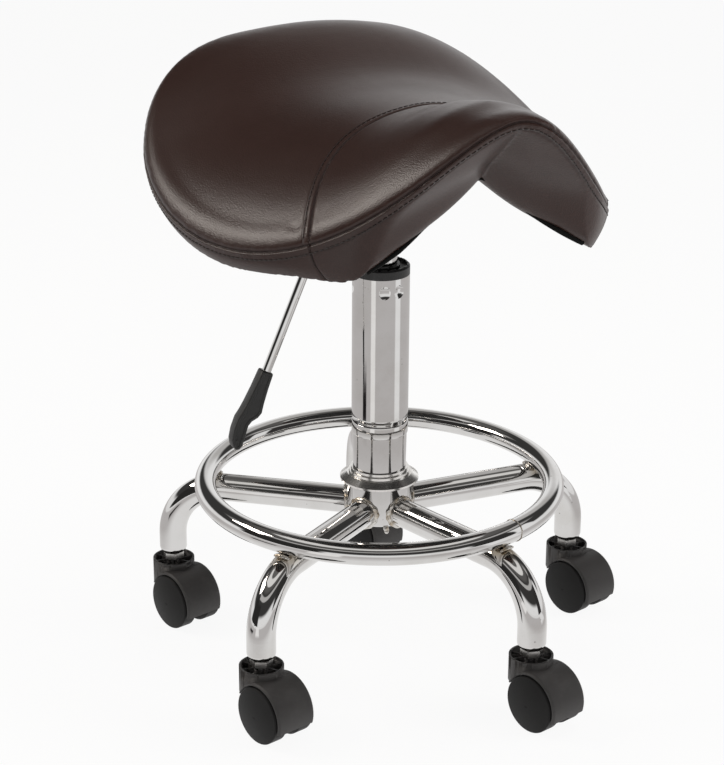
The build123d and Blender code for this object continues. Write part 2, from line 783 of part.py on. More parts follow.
# Mounting block: a wooden block that fills the arch over the plate, with its screws, nuts and bolts
block_height = underside_height - well_top
block = extrude(
    Pos(0, 0, well_top) * RectangleRounded(flange_width, flange_length, flange_corner), 2 * block_height
)
block -= arch_band(-loose_gap, 3 * block_height, shell_inset)
nut_bottom = well_top + tee_nut_floor
nut_top = nut_bottom + tee_nut_height
for place in bolt_places:
    block -= place * ring_of(0, bolt_hole_radius, well_top, tee_nut_floor)
    block -= place * ring_of(0, tee_nut_radius + seat_gap, nut_bottom, tee_nut_height)
    block -= place * ring_of(0, tee_nut_flange_radius + loose_gap, nut_top, 2 * block_height)
head_room = screw_head_height + loose_gap
for place in screw_places:
    block -= place * ring_of(0, screw_radius + seat_gap, well_top, 2 * block_height)
    block -= place * ring_of(0, screw_head_radius + seat_gap, well_top, head_room)
parts["mounting_block"] = block
nut = ring_of(bolt_radius + seat_gap, tee_nut_radius, nut_bottom, tee_nut_height)
nut += ring_of(bolt_radius + seat_gap, tee_nut_flange_radius, nut_top, tee_nut_flange)
parts["tee_nuts"] = Compound([place * nut for place in bolt_places])
bolt = ring_of(0, bolt_head_radius, flange_bottom - bolt_head_height, bolt_head_height)
bolt += ring_of(0, bolt_radius, flange_bottom, nut_top - flange_bottom)
parts["plate_bolts"] = Compound([place * bolt for place in bolt_places])
screw = turned(
    (0, well_top + loose_gap),
    (screw_head_radius, well_top + loose_gap),
    (screw_head_radius, well_top + head_room),
    (screw_radius, well_top + head_room),
    (screw_radius, screw_top - 2 * screw_radius),
    (0, screw_top),
)
parts["block_screws"] = Compound([place * screw for place in screw_places])


# Casters: a hood with a ribbed stem cup, an axle and two domed wheels, all trailing the same way
def caster_wheel():
    """One wheel about Y, on its outer side, with its open side inwards."""
    inner_hub = axle_radius + running_gap
    disc_inner = wheel_outer - wheel_disc
    tread_start = wheel_inner + wheel_edge / 2
    dome_top = wheel_outer + wheel_dome
    dome_edge = wheel_radius - wheel_edge
    dome_radius = (dome_edge**2 + wheel_dome**2) / (2 * wheel_dome)
    dome_start = math.degrees(math.acos(dome_edge / dome_radius))
    outline = [
        Line((inner_hub, wheel_inner), (wheel_hub_radius, wheel_inner)),
        Line((wheel_hub_radius, wheel_inner), (wheel_hub_radius, disc_inner)),
        Line((wheel_hub_radius, disc_inner), (wheel_radius - wheel_rim, disc_inner)),
        Line((wheel_radius - wheel_rim, disc_inner), (wheel_radius - wheel_rim, tread_start)),
        Line((wheel_radius - wheel_rim, tread_start), (wheel_radius - wheel_edge, tread_start)),
        Line((wheel_radius - wheel_edge, tread_start), (wheel_radius, tread_start + wheel_edge)),
        Line((wheel_radius, tread_start + wheel_edge), (wheel_radius, wheel_outer - wheel_edge)),
        CenterArc((wheel_radius - wheel_edge, wheel_outer - wheel_edge), wheel_edge, 0, 90),
        CenterArc((0, dome_top - dome_radius), dome_radius, dome_start, 90 - dome_start),
        Line((0, dome_top), (0, wheel_outer + running_gap)),
        Line((0, wheel_outer + running_gap), (inner_hub, wheel_outer + running_gap)),
        Line((inner_hub, wheel_outer + running_gap), (inner_hub, wheel_inner)),
    ]
    wheel = turned_edges(*outline)
    return Pos(caster_trail, 0, wheel_radius) * Rot(-90, 0, 0) * wheel


def caster_hood():
    """The hood about its stem: shell over the wheels, web between them and the ribbed cup."""
    half = hood_width / 2
    barrel = cross_cylinder(hood_radius, caster_trail, wheel_radius, -half, half)
    barrel = fillet(barrel.edges().filter_by(GeomType.CIRCLE), hood_edge_round)
    neck = ring_of(0, cup_radius, neck_foot_height, cup_rim_height - neck_foot_height)
    web_foot = wheel_radius - hood_web_drop
    far = caster_trail + 2 * hood_radius
    near = -2 * cup_radius
    outline = Polyline(
        (near, neck_foot_height),
        (caster_trail - hood_radius / 2, neck_foot_height),
        (caster_trail - hood_web_drop, web_foot),
        (caster_trail + hood_web_drop, web_foot),
        (caster_trail + hood_radius / 2, hood_skirt_height),
        (far, hood_skirt_height),
        (far, 2 * cup_rim_height),
        (near, 2 * cup_rim_height),
        close=True,
    )
    hood = (barrel + neck) & extrude(make_face(Plane.XZ * outline), hood_width, both=True)
    for side in (-1, 1):
        low, high = sorted((side * hood_web / 2, side * hood_width))
        hood -= cross_cylinder(wheel_radius + wheel_room, caster_trail, wheel_radius, low, high)
    cup_floor = cup_rim_height - cup_depth
    cup_inner = cup_radius - cup_wall
    hood -= ring_of(stem_boss_radius, cup_inner, cup_floor, 2 * cup_depth)
    rib_length = cup_inner - stem_boss_radius + cup_wall
    rib_height = cup_depth - cup_rib_drop
    rib = Pos(stem_boss_radius - cup_wall / 2 + rib_length / 2, 0, cup_floor + rib_height / 2) * Box(
        rib_length, cup_rib_width, rib_height
    )
    for k in range(cup_rib_count):
        hood += Rot(0, 0, (k + 0.5) * 360 / cup_rib_count) * rib
    hood -= ring_of(0, stem_radius + running_gap, stem_pin_bottom - loose_gap, 2 * stem_pin_length)
    hood -= cross_cylinder(axle_radius + seat_gap, caster_trail, wheel_radius, -hood_width, hood_width)
    return hood


hood = caster_hood()
wheel = caster_wheel()
axle_reach = wheel_outer - axle_end_gap
axle = cross_cylinder(axle_radius, caster_trail, wheel_radius, -axle_reach, axle_reach)
for k in range(leg_count):
    stem_place = (toward(leg_bearing(k)) * Pos(caster_circle_radius, 0, 0)).position
    place = Pos(*stem_place) * toward(caster_heading)
    parts[f"caster_{k + 1}_hood"] = place * hood
    parts[f"caster_{k + 1}_axle"] = place * axle
    parts[f"caster_{k + 1}_wheel_left"] = place * wheel
    parts[f"caster_{k + 1}_wheel_right"] = place * mirror(wheel, Plane.XZ)

for name, shape in parts.items():
    export_step(shape, f"parts/{name}.step")
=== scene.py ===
import math

import bpy
import numpy as np
from mathutils import Matrix, Vector
from mathutils.bvhtree import BVHTree
from mathutils.kdtree import KDTree


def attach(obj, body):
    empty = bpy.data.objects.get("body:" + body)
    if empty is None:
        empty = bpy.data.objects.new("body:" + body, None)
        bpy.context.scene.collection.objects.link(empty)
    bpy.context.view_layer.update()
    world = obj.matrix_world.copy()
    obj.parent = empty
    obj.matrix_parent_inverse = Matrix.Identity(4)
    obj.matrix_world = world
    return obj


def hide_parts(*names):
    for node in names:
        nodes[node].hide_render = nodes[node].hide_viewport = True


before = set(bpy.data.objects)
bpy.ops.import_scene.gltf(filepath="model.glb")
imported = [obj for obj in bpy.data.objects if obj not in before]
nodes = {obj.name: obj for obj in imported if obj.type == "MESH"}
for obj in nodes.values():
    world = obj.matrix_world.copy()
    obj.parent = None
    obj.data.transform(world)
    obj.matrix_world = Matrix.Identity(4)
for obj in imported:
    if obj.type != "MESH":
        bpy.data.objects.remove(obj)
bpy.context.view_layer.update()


# Viewpoint. The camera stands before the stool and a little to the rider's right, above the saddle,
# and looks down through a long lens, so that the legs fan out under the seat.
sensor_wide = 36.0
focal_pixels = 2145
picture_wide = 724
camera_place = (-0.7720, -1.5828, 0.9145)
camera_turn = math.radians(-25.484)
camera_dip = math.radians(20.718)
camera_roll = 0.006
bpy.ops.object.camera_add()
camera = bpy.context.object
camera.name = "viewpoint"
camera.data.sensor_fit = "HORIZONTAL"
camera.data.sensor_width = sensor_wide
camera.data.lens = focal_pixels * sensor_wide / picture_wide
camera.matrix_world = (
    Matrix.Translation(camera_place)
    @ Matrix.Rotation(camera_turn, 4, "Z")
    @ Matrix.Rotation(math.pi / 2 - camera_dip, 4, "X")
    @ Matrix.Rotation(camera_roll, 4, "Z")
)
bpy.context.scene.camera = camera
bpy.context.scene.view_settings.view_transform = "Standard"


# Studio. White paper covers the floor under a white sky, and four soft boxes light the stool; only the
# one behind it on the left shows in the leatherette, as its highlights.
class Wire:
    """A node's output; arithmetic on it adds Math nodes to the same tree."""

    def __init__(self, tree, socket=None):
        self.tree = tree
        self.socket = socket

    def node(self, kind, settings=None, sockets=None, output=0):
        made = self.tree.nodes.new("ShaderNode" + kind)
        for name, value in (settings or {}).items():
            setattr(made, name, value)
        for key, value in (sockets or {}).items():
            if isinstance(value, Wire):
                self.tree.links.new(value.socket, made.inputs[key])
            else:
                made.inputs[key].default_value = value
        return Wire(self.tree, made.outputs[output])

    def into(self, shader, socket):
        self.tree.links.new(self.socket, shader.inputs[socket])

    def maths(self, operation, *values):
        return self.node("Math", {"operation": operation}, dict(enumerate(values)))

    def __add__(self, other):
        return self.maths("ADD", self, other)

    def __radd__(self, other):
        return self.maths("ADD", other, self)

    def __sub__(self, other):
        return self.maths("SUBTRACT", self, other)

    def __rsub__(self, other):
        return self.maths("SUBTRACT", other, self)

    def __mul__(self, other):
        return self.maths("MULTIPLY", self, other)

    def __truediv__(self, other):
        return self.maths("DIVIDE", self, other)

    def __pow__(self, other):
        return self.maths("POWER", self, other)

    def ease(self, low, high):
        """A smooth step from 0 at low to 1 at high."""
        ends = {"Value": self, "From Min": low, "From Max": high}
        return self.node("MapRange", {"interpolation_type": "SMOOTHSTEP"}, ends)

    def blend(self, first, second):
        """The first colour where this is 0 and the second where it is 1."""
        return self.node("Mix", {"data_type": "RGBA"}, {"Factor": self, 6: first, 7: second}, output=2)


def bare_finish(name):
    material = bpy.data.materials.new(name)
    material.use_nodes = True
    material.node_tree.nodes.remove(material.node_tree.nodes["Principled BSDF"])
    return material, Wire(material.node_tree)


white = (1.0, 1.0, 1.0, 1)
room = bpy.data.worlds.new("studio_room")
bpy.context.scene.world = room
room.use_nodes = True
sky = room.node_tree.nodes["Background"]
sky.inputs["Color"].default_value = white
sky.inputs["Strength"].default_value = 1.0

paper_wide = 16.0
paper_glow = 0.92
bpy.ops.mesh.primitive_plane_add(size=paper_wide)
floor = bpy.context.object
floor.name = "paper_floor"
paper, wire = bare_finish("white_paper")
seen = wire.node("LightPath", output="Is Camera Ray")
seen = seen.maths("MAXIMUM", seen, wire.node("LightPath", output="Is Glossy Ray"))
seen = seen.maths("MAXIMUM", seen, wire.node("LightPath", output="Is Transmission Ray"))
spot = wire.node("TexCoord", output="Object")
fibre = wire.node("TexNoise", sockets={"Vector": spot, "Scale": 3.0})
tint = fibre.blend((0.86, 0.86, 0.86, 1), (0.90, 0.90, 0.90, 1))
shaded = wire.node("BsdfDiffuse", sockets={"Color": tint})
lit = wire.node("Emission", sockets={"Color": white, "Strength": 1.0})
sheet = wire.node("MixShader", sockets={0: seen * paper_glow, 1: shaded, 2: lit})
sheet.into(paper.node_tree.nodes["Material Output"], "Surface")
floor.data.materials.append(paper)

light_aim = Vector((0, 0, 0.4))
for name, place, wide, high, power, colour, shows in (
    ("key_softbox", (-1.61, 0.92, 1.60), 0.95, 0.55, 18.0, (1.0, 0.93, 0.86), True),
    ("fill_softbox", (2.1, -1.5, 1.4), 1.3, 1.3, 34.0, (1.0, 0.99, 0.97), False),
    ("side_softbox", (-1.6, -2.0, 1.0), 1.1, 1.1, 8.0, (1.0, 0.99, 0.97), False),
    ("top_softbox", (0.3, 0.0, 2.4), 1.3, 1.3, 11.0, (1.0, 0.98, 0.96), False),
):
    bpy.ops.object.light_add(type="AREA", location=place)
    softbox = bpy.context.object
    softbox.name = name
    softbox.data.shape = "RECTANGLE"
    softbox.data.size = wide
    softbox.data.size_y = high
    softbox.data.energy = power
    softbox.data.color = colour
    softbox.visible_glossy = shows
    softbox.rotation_euler = (light_aim - Vector(place)).to_track_quat("-Z", "Y").to_euler()


# Room around the paper. A dark dome with two rings of lamps stands over the white backdrop, with dark
# screens and a window low down, a lit wall behind on the right, and grey felt on the floor; the
# camera never sees them, and the polished tubes show them as bands and lines.
def axis_of(wire, letter):
    spot = wire.node("TexCoord", output="Object")
    return wire.node("SeparateXYZ", sockets={0: spot}, output=letter)


def within(value, centre, half, soft):
    """1 inside a band about the centre, falling to 0 over its soft edges."""
    off = value - centre
    return off.maths("ABSOLUTE", off).ease(half + soft, half)


def off_camera(piece, material, colour, diffuse):
    wire = Wire(material.node_tree)
    glow = wire.node("Emission", sockets={"Color": colour, "Strength": 1.0})
    glow.into(material.node_tree.nodes["Material Output"], "Surface")
    piece.data.materials.append(material)
    piece.visible_camera = piece.visible_shadow = piece.visible_transmission = False
    piece.visible_diffuse = diffuse


# Bands of the dome: centre, half width and soft edge, as shares of its height or as bearings in degrees.
low_lamps = (0.63, 0.035, 0.03)
high_lamps = (0.90, 0.042, 0.02)
lamp_gap = (26, 50, 20)
left_screen = (-94, 24, 7)
right_screen = (134, 14, 6)
low_window = (110, 7, 3)
lit_wall = (36, 14, 12)
ceiling_far = 6.0
ceiling_foot = 0.02
bpy.ops.mesh.primitive_uv_sphere_add(segments=48, ring_count=60, radius=ceiling_far)
ceiling = bpy.context.object
ceiling.name = "dark_ceiling"
bpy.ops.object.mode_set(mode="EDIT")
bpy.ops.mesh.select_mode(type="FACE")
bpy.ops.mesh.select_all(action="DESELECT")
bpy.ops.object.mode_set(mode="OBJECT")
for face in ceiling.data.polygons:
    face.select = face.center.z < ceiling_foot * ceiling_far
bpy.ops.object.mode_set(mode="EDIT")
bpy.ops.mesh.delete(type="FACE")
bpy.ops.object.mode_set(mode="OBJECT")
plaster, wire = bare_finish("dark_plaster")
climb = axis_of(wire, "Z") / ceiling_far
east = axis_of(wire, "X")
bearing = east.maths("ARCTAN2", east, axis_of(wire, "Y")) * (180 / math.pi)
lamps = 1.0 - within(bearing, *lamp_gap)
shade = climb.ease(0.16, 0.29).blend(white, (0.05, 0.049, 0.048, 1))
shade = (within(climb, *low_lamps) * lamps).blend(shade, (0.55, 0.54, 0.53, 1))
shade = climb.ease(0.69, 0.80).blend(shade, (0.13, 0.126, 0.122, 1))
shade = (within(climb, *high_lamps) * lamps).blend(shade, (0.9, 0.89, 0.87, 1))
shade = climb.ease(0.955, 0.985).blend(shade, (0.16, 0.155, 0.15, 1))
low = climb.ease(0.55, 0.44)
shade = (within(bearing, *left_screen) * low).blend(shade, (0.03, 0.029, 0.028, 1))
shade = (within(bearing, *right_screen) * low).blend(shade, (0.04, 0.039, 0.038, 1))
shade = (within(bearing, *low_window) * low).blend(shade, white)
wall = climb.ease(0.32, 0.52).blend(white, (0.58, 0.57, 0.56, 1))
shade = (within(bearing, *lit_wall) * climb.ease(0.94, 0.80)).blend(shade, wall)
off_camera(ceiling, plaster, shade, True)

# Strips of the felt: bearings from the camera's side, in degrees.
left_strip = (-29, 7, 4)
right_strip = (72, 9, 6)
dark_strip = (-64, 6, 4)
to_camera = (-0.438, -0.899)
felt_reach = 3.3
felt_lift = 0.001
bpy.ops.mesh.primitive_circle_add(
    vertices=64, radius=felt_reach, fill_type="NGON", location=(0, 0, felt_lift)
)
felt_floor = bpy.context.object
felt_floor.name = "grey_felt_floor"
felt, wire = bare_finish("grey_felt")
east = axis_of(wire, "X")
north = axis_of(wire, "Y")
reach = (east * east + north * north) ** 0.5
ahead = (east * to_camera[0] + north * to_camera[1]) / reach
aside = (east * -to_camera[1] + north * to_camera[0]) / reach
bearing = ahead.maths("ARCTAN2", aside, ahead) * (180 / math.pi)
worn = reach.ease(0.24, 0.46) * reach.ease(1.7, 1.1)
grey = worn.blend((0.95, 0.945, 0.94, 1), (0.62, 0.60, 0.595, 1))
band = reach.ease(0.45, 0.6)
grey = (within(bearing, *left_strip) * band).blend(grey, (1.05, 1.04, 1.03, 1))
grey = (within(bearing, *right_strip) * band).blend(grey, white)
short = band * reach.ease(0.80, 0.64)
grey = (within(bearing, *dark_strip) * short).blend(grey, (0.015, 0.014, 0.014, 1))
off_camera(felt_floor, felt, grey, False)


# Base. Five bent steel tubes, the foot ring and the hub are welded, polished and chromed as one;
# the plating keeps faint clouds and the slight ripple of bent tube.
def new_finish(name, colour, roughness, metallic=0.0):
    material = bpy.data.materials.new(name)
    material.use_nodes = True
    shader = material.node_tree.nodes["Principled BSDF"]
    shader.inputs["Base Color"].default_value = (*colour, 1)
    shader.inputs["Roughness"].default_value = roughness
    shader.inputs["Metallic"].default_value = metallic
    return material, shader, Wire(material.node_tree)


def dress(material, *names):
    for name in names:
        for slot in nodes[name].material_slots:
            slot.material = material


# The heat of welding tints the legs in a ring at this reach and height.
scald_reach = (0.161, 0.007, 0.010)
scald_height = (0.146, 0.003, 0.007)


def plated_finish(name, heated):
    material, shader, wire = new_finish(name, (0.64, 0.63, 0.62), 0.06, 1.0)
    spot = wire.node("TexCoord", output="Object")
    cloudy = {"Vector": spot, "Scale": 24.0, "Detail": 5.0, "Roughness": 0.62}
    clouds = wire.node("TexNoise", sockets=cloudy)
    film = clouds.ease(0.35, 0.75)
    pits = wire.node("TexVoronoi", sockets={"Vector": spot, "Scale": 150.0, "Randomness": 1.0})
    patches = wire.node("TexNoise", sockets={"Vector": spot, "Scale": 45.0, "Detail": 2.0})
    pit = pits.ease(0.15, 0.07) * patches.ease(0.56, 0.64)
    tint = film.blend((0.67, 0.662, 0.655, 1), (0.61, 0.598, 0.582, 1))
    if heated:
        east = axis_of(wire, "X")
        north = axis_of(wire, "Y")
        reach = (east * east + north * north) ** 0.5
        scald = within(reach, *scald_reach) * within(axis_of(wire, "Z"), *scald_height)
        tint = (scald * (0.45 + film * 0.4)).blend(tint, (0.40, 0.34, 0.25, 1))
    (pit * 0.6).blend(tint, (0.20, 0.18, 0.16, 1)).into(shader, "Base Color")
    (0.03 + film * 0.04 + pit * 0.25).into(shader, "Roughness")
    ripple = wire.node("TexNoise", sockets={"Vector": spot, "Scale": 60.0, "Detail": 2.0})
    relief = ripple - pit * 0.4
    bump = wire.node("Bump", sockets={"Strength": 0.08, "Distance": 0.0006, "Height": relief})
    bump.into(shader, "Normal")
    return material


chrome = plated_finish("polished_chrome", False)
dress(chrome, "foot_ring", "hub")
# The flange plate is satin, and it is coloured lighter than the hub's chrome: the lighter colour is a
# painted reflection of the bright light it picks up.
satin, shader, wire = new_finish("satin_flange_plate", (0.78, 0.76, 0.74), 0.3, 1.0)
spot = wire.node("TexCoord", output="Object")
turning = wire.node("TexNoise", sockets={"Vector": spot, "Scale": 180.0, "Detail": 4.0})
turning.ease(0.3, 0.7).blend((0.94, 0.93, 0.91, 1), (0.84, 0.82, 0.79, 1)).into(shader, "Base Color")
(0.16 + turning * 0.12).into(shader, "Roughness")
wire.node("Bump", sockets={"Strength": 0.06, "Distance": 0.0003, "Height": turning}).into(shader, "Normal")
dress(satin, "hub_flange")
dress(plated_finish("chrome_on_legs", True), "leg_1", "leg_2", "leg_3", "leg_4", "leg_5")


# Welds. Arc-welded beads lie in the grooves where the ring crosses the legs, and others go round each
# leg at the hub; all are plated over, lumpy, and browned by the heat where the plating is thin.
weld, shader, wire = new_finish("plated_weld", (0.45, 0.42, 0.38), 0.3, 1.0)
spot = wire.node("TexCoord", output="Object")
lumps = wire.node("TexVoronoi", {"feature": "SMOOTH_F1"}, {"Vector": spot, "Scale": 420.0})
scorch = wire.node("TexNoise", sockets={"Vector": spot, "Scale": 130.0, "Detail": 4.0})
scorch.ease(0.38, 0.68).blend((0.62, 0.60, 0.57, 1), (0.42, 0.35, 0.26, 1)).into(shader, "Base Color")
(0.10 + scorch * 0.3).into(shader, "Roughness")
wire.node("Bump", sockets={"Strength": 0.5, "Distance": 0.0008, "Height": lumps}).into(shader, "Normal")
leg_bearings = [16 + 72 * k for k in range(5)]
leg_middle = 0.1342
ring_reach = 0.155
ring_middle = 0.1555


def points_of(piece):
    spots = np.empty(len(piece.data.vertices) * 3, np.float32)
    piece.data.vertices.foreach_get("co", spots)
    return spots.reshape(-1, 3).astype(float)


def put_points(piece, spots):
    piece.data.vertices.foreach_set("co", spots.astype(np.float32).ravel())
    piece.data.update()


def turned_copies(piece, bearings):
    """Copies of a piece made along +X, turned to bearings counted from the stool's front."""
    copies = []
    for bearing in bearings:
        copy = bpy.data.objects.new(piece.name, piece.data.copy())
        bpy.context.collection.objects.link(copy)
        copy.data.transform(Matrix.Rotation(math.radians(bearing - 90), 4, "Z"))
        copies.append(copy)
    bpy.data.objects.remove(piece)
    return copies


def join_as(name, pieces, material):
    bpy.ops.object.select_all(action="DESELECT")
    for piece in pieces:
        piece.select_set(True)
    bpy.context.view_layer.objects.active = pieces[0]
    bpy.ops.object.join()
    whole = bpy.context.object
    whole.name = name
    whole.data.materials.clear()
    whole.data.materials.append(material)
    bpy.ops.object.shade_smooth()
    return whole


bead_half = 0.0078
bead_thick = 0.0023
bead_off = 0.0066
bead_height = 0.1472
bead_sag = 20
bead_pitch = 0.0027
beads = []
for side, drop in ((-1, 0.0002), (1, 0.0012)):
    bpy.ops.object.select_all(action="DESELECT")
    bpy.ops.mesh.primitive_uv_sphere_add(
        segments=16, ring_count=26, radius=bead_thick, rotation=(math.pi / 2, 0, 0)
    )
    bead = bpy.context.object
    bpy.ops.object.transform_apply(rotation=True)
    bpy.ops.object.mode_set(mode="EDIT")
    bpy.ops.mesh.select_all(action="SELECT")
    bpy.ops.transform.resize(value=(1.0, bead_half / bead_thick, 0.85))
    bpy.ops.object.mode_set(mode="OBJECT")
    spots = points_of(bead)
    ridge = 1 + 0.06 * np.cos(spots[:, 1] * (2 * math.pi / bead_pitch) + 1.3 * side)
    spots[:, 0] *= ridge
    spots[:, 2] = spots[:, 2] * ridge - bead_sag * spots[:, 1] ** 2
    spots += np.array([ring_reach + side * bead_off, 0, bead_height - drop])
    put_points(bead, spots)
    beads += turned_copies(bead, leg_bearings)

# The ring's own tube is closed by one butt weld.
butt_radius = 0.0096
butt_thick = 0.0005
butt_bearing = 21.4
bpy.ops.mesh.primitive_torus_add(
    major_radius=butt_radius, minor_radius=butt_thick, major_segments=40, minor_segments=8,
    location=(ring_reach, 0, ring_middle), rotation=(math.pi / 2, 0, 0),
)
bpy.ops.object.transform_apply(location=True, rotation=True)
joint = bpy.context.object
spots = points_of(joint)
spots[:, 1] += 0.0003 * np.sin(900 * spots[:, 0] + 700 * spots[:, 2])
put_points(joint, spots)
beads += turned_copies(joint, [butt_bearing])
ring_beads = join_as("ring_weld_beads", beads, weld)
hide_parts("ring_welds")
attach(ring_beads, "base")

hub_reach = 0.0295
collar_radius = 0.0130
collar_thick = 0.0020
collar_proud = 0.0004
bpy.ops.object.select_all(action="DESELECT")
bpy.ops.mesh.primitive_torus_add(
    major_radius=collar_radius, minor_radius=collar_thick, major_segments=64, minor_segments=10,
    location=(0, 0, leg_middle), rotation=(0, math.pi / 2, 0),
)
bpy.ops.object.transform_apply(location=True, rotation=True)
collar = bpy.context.object
spots = points_of(collar)
turn = np.arctan2(spots[:, 1], spots[:, 2] - leg_middle)
swell = 1 + 0.16 * np.sin(13 * turn) + 0.10 * np.sin(5 * turn + 1.0)
centre = np.stack(
    [0 * turn, collar_radius * np.sin(turn), leg_middle + collar_radius * np.cos(turn)], axis=1
)
spots = centre + (spots - centre) * swell[:, None]
spots[:, 0] += np.sqrt(hub_reach**2 - spots[:, 1] ** 2) + collar_proud
put_points(collar, spots)
collars = turned_copies(collar, leg_bearings)

# One run of plating hangs from the hub's lower edge at the front.
drip_place = Vector((-0.0061, -0.0272, 0.1205))
for off, size in (
    ((0, 0, 0), 0.0025),
    ((0.0003, -0.0006, -0.0030), 0.0019),
    ((0.0016, 0, -0.0016), 0.0014),
):
    place = drip_place + Vector(off)
    bpy.ops.mesh.primitive_ico_sphere_add(subdivisions=3, radius=size, location=place)
    bpy.ops.object.transform_apply(location=True)
    collars.append(bpy.context.object)
hub_beads = join_as("hub_weld_beads", collars, weld)
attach(hub_beads, "base")


# Casters. Each has a moulded black hood with a ribbed cup, cut off above the floor so that the wheels
# show below it, two hard wheels on a steel axle, and a zinc-plated stem driven into the leg's plug.
def moulded_finish(name, colour, gloss):
    material, shader, wire = new_finish(name, colour, 0.5)
    shader.inputs["Specular IOR Level"].default_value = gloss
    spot = wire.node("TexCoord", output="Object")
    grit = wire.node("TexNoise", sockets={"Vector": spot, "Scale": 1500.0, "Detail": 2.0})
    patchy = {"Vector": spot, "Scale": 40.0, "Detail": 6.0, "Roughness": 0.7}
    dust = wire.node("TexNoise", sockets=patchy)
    dusty = [1.5 * part for part in colour]
    dust.ease(0.45, 0.8).blend((*colour, 1), (*dusty, 1)).into(shader, "Base Color")
    (0.42 + dust * 0.16).into(shader, "Roughness")
    bump = wire.node("Bump", sockets={"Strength": 0.22, "Distance": 0.0003, "Height": grit})
    bump.into(shader, "Normal")
    return material


same_place = 0.00005


def own_copy(name, node):
    """A copy of a solid's skin with its points merged, selected for editing."""
    bpy.ops.object.select_all(action="DESELECT")
    copy = bpy.data.objects.new(name, nodes[node].data.copy())
    bpy.context.collection.objects.link(copy)
    copy.data.materials.clear()
    bpy.context.view_layer.objects.active = copy
    copy.select_set(True)
    bpy.ops.object.mode_set(mode="EDIT")
    bpy.ops.mesh.select_all(action="SELECT")
    bpy.ops.mesh.remove_doubles(threshold=same_place)
    bpy.ops.object.mode_set(mode="OBJECT")
    return copy


skirt_height = 0.0170
hood_plastic = moulded_finish("caster_hood_plastic", (0.034, 0.032, 0.0315), 0.45)
wheel_plastic = moulded_finish("caster_wheel_plastic", (0.010, 0.0097, 0.0097), 0.16)
for k in range(1, 6):
    dress(wheel_plastic, f"caster_{k}_wheel_left", f"caster_{k}_wheel_right")
    hood = own_copy(f"caster_{k}_short_hood", f"caster_{k}_hood")
    bpy.ops.object.mode_set(mode="EDIT")
    bpy.ops.mesh.select_all(action="SELECT")
    bpy.ops.mesh.bisect(
        plane_co=(0, 0, skirt_height), plane_no=(0, 0, 1), use_fill=True, clear_inner=True
    )
    bpy.ops.mesh.select_all(action="SELECT")
    bpy.ops.mesh.normals_make_consistent(inside=False)
    bpy.ops.object.mode_set(mode="OBJECT")
    hood.data.materials.append(hood_plastic)
    bpy.ops.object.shade_smooth()
    sheen = hood.modifiers.new("sheen", "DATA_TRANSFER")
    sheen.object = nodes[f"caster_{k}_hood"]
    sheen.use_loop_data = True
    sheen.data_types_loops = {"CUSTOM_NORMAL"}
    sheen.loop_mapping = "POLYINTERP_NEAREST"
    bpy.ops.object.modifier_apply(modifier="sheen")
    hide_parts(f"caster_{k}_hood")
    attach(hood, f"caster_{k}")

zinc, shader, wire = new_finish("zinc_plate", (0.58, 0.57, 0.55), 0.32, 1.0)
spot = wire.node("TexCoord", output="Object")
spangle = wire.node("TexNoise", sockets={"Vector": spot, "Scale": 220.0, "Detail": 5.0})
spangle.ease(0.3, 0.7).blend((0.66, 0.65, 0.63, 1), (0.44, 0.43, 0.41, 1)).into(shader, "Base Color")
(0.22 + spangle * 0.22).into(shader, "Roughness")
wire.node("Bump", sockets={"Strength": 0.12, "Distance": 0.0003, "Height": spangle}).into(shader, "Normal")
dress(zinc, "caster_stems", *[f"caster_{k}_axle" for k in range(1, 6)])


# Column. A chromed standpipe stands in the hub; a black guide bush in its mouth centres the gas
# cylinder, and the rod below rests on a thrust bearing held by an end plate and a clip.
dress(chrome, "gas_cylinder", "piston_rod")
pipe_radius = 0.025
dent_height = 0.3388
dent_ball = 0.012
dent_depth = 0.0016
dent_bearings = [120 * pair + turn for pair in range(3) for turn in (-18, 13)]
dents = []
pipe = own_copy("dented_standpipe", "standpipe")
for bearing in dent_bearings:
    turn = math.radians(bearing)
    place = Vector((math.sin(turn), -math.cos(turn), 0)) * (pipe_radius + dent_ball - dent_depth)
    place.z = dent_height
    bpy.ops.mesh.primitive_uv_sphere_add(segments=64, ring_count=32, radius=dent_ball, location=place)
    punch = bpy.context.object
    dents.append(place)
    stake = pipe.modifiers.new("stake", "BOOLEAN")
    stake.operation = "DIFFERENCE"
    stake.object = punch
    bpy.context.view_layer.objects.active = pipe
    bpy.ops.object.modifier_apply(modifier="stake")
    bpy.data.objects.remove(punch)
bpy.ops.object.select_all(action="DESELECT")
pipe.select_set(True)
pipe.data.materials.clear()
pipe.data.materials.append(chrome)
bpy.ops.object.shade_smooth_by_angle(angle=math.radians(15))

# The cut leaves long thin faces, so the dents and the tube get the exact normals of ball and cylinder.
on_ball = 0.00003
on_pipe = 0.00005
skin = pipe.data
facing = [normal.vector.copy() for normal in skin.corner_normals]
for face in skin.polygons:
    corners = [(k, skin.vertices[skin.loops[k].vertex_index].co) for k in face.loop_indices]
    ball = min(dents, key=lambda centre: (face.center - centre).length)
    upright = abs(face.normal.z) < 0.1
    if all(abs((place - ball).length - dent_ball) < on_ball for _, place in corners):
        for k, place in corners:
            facing[k] = (ball - place).normalized()
    elif upright and all(abs(place.xy.length - pipe_radius) < on_pipe for _, place in corners):
        for k, place in corners:
            facing[k] = Vector((place.x, place.y, 0)).normalized()
skin.normals_split_custom_set(facing)
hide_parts("standpipe")
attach(pipe, "base")

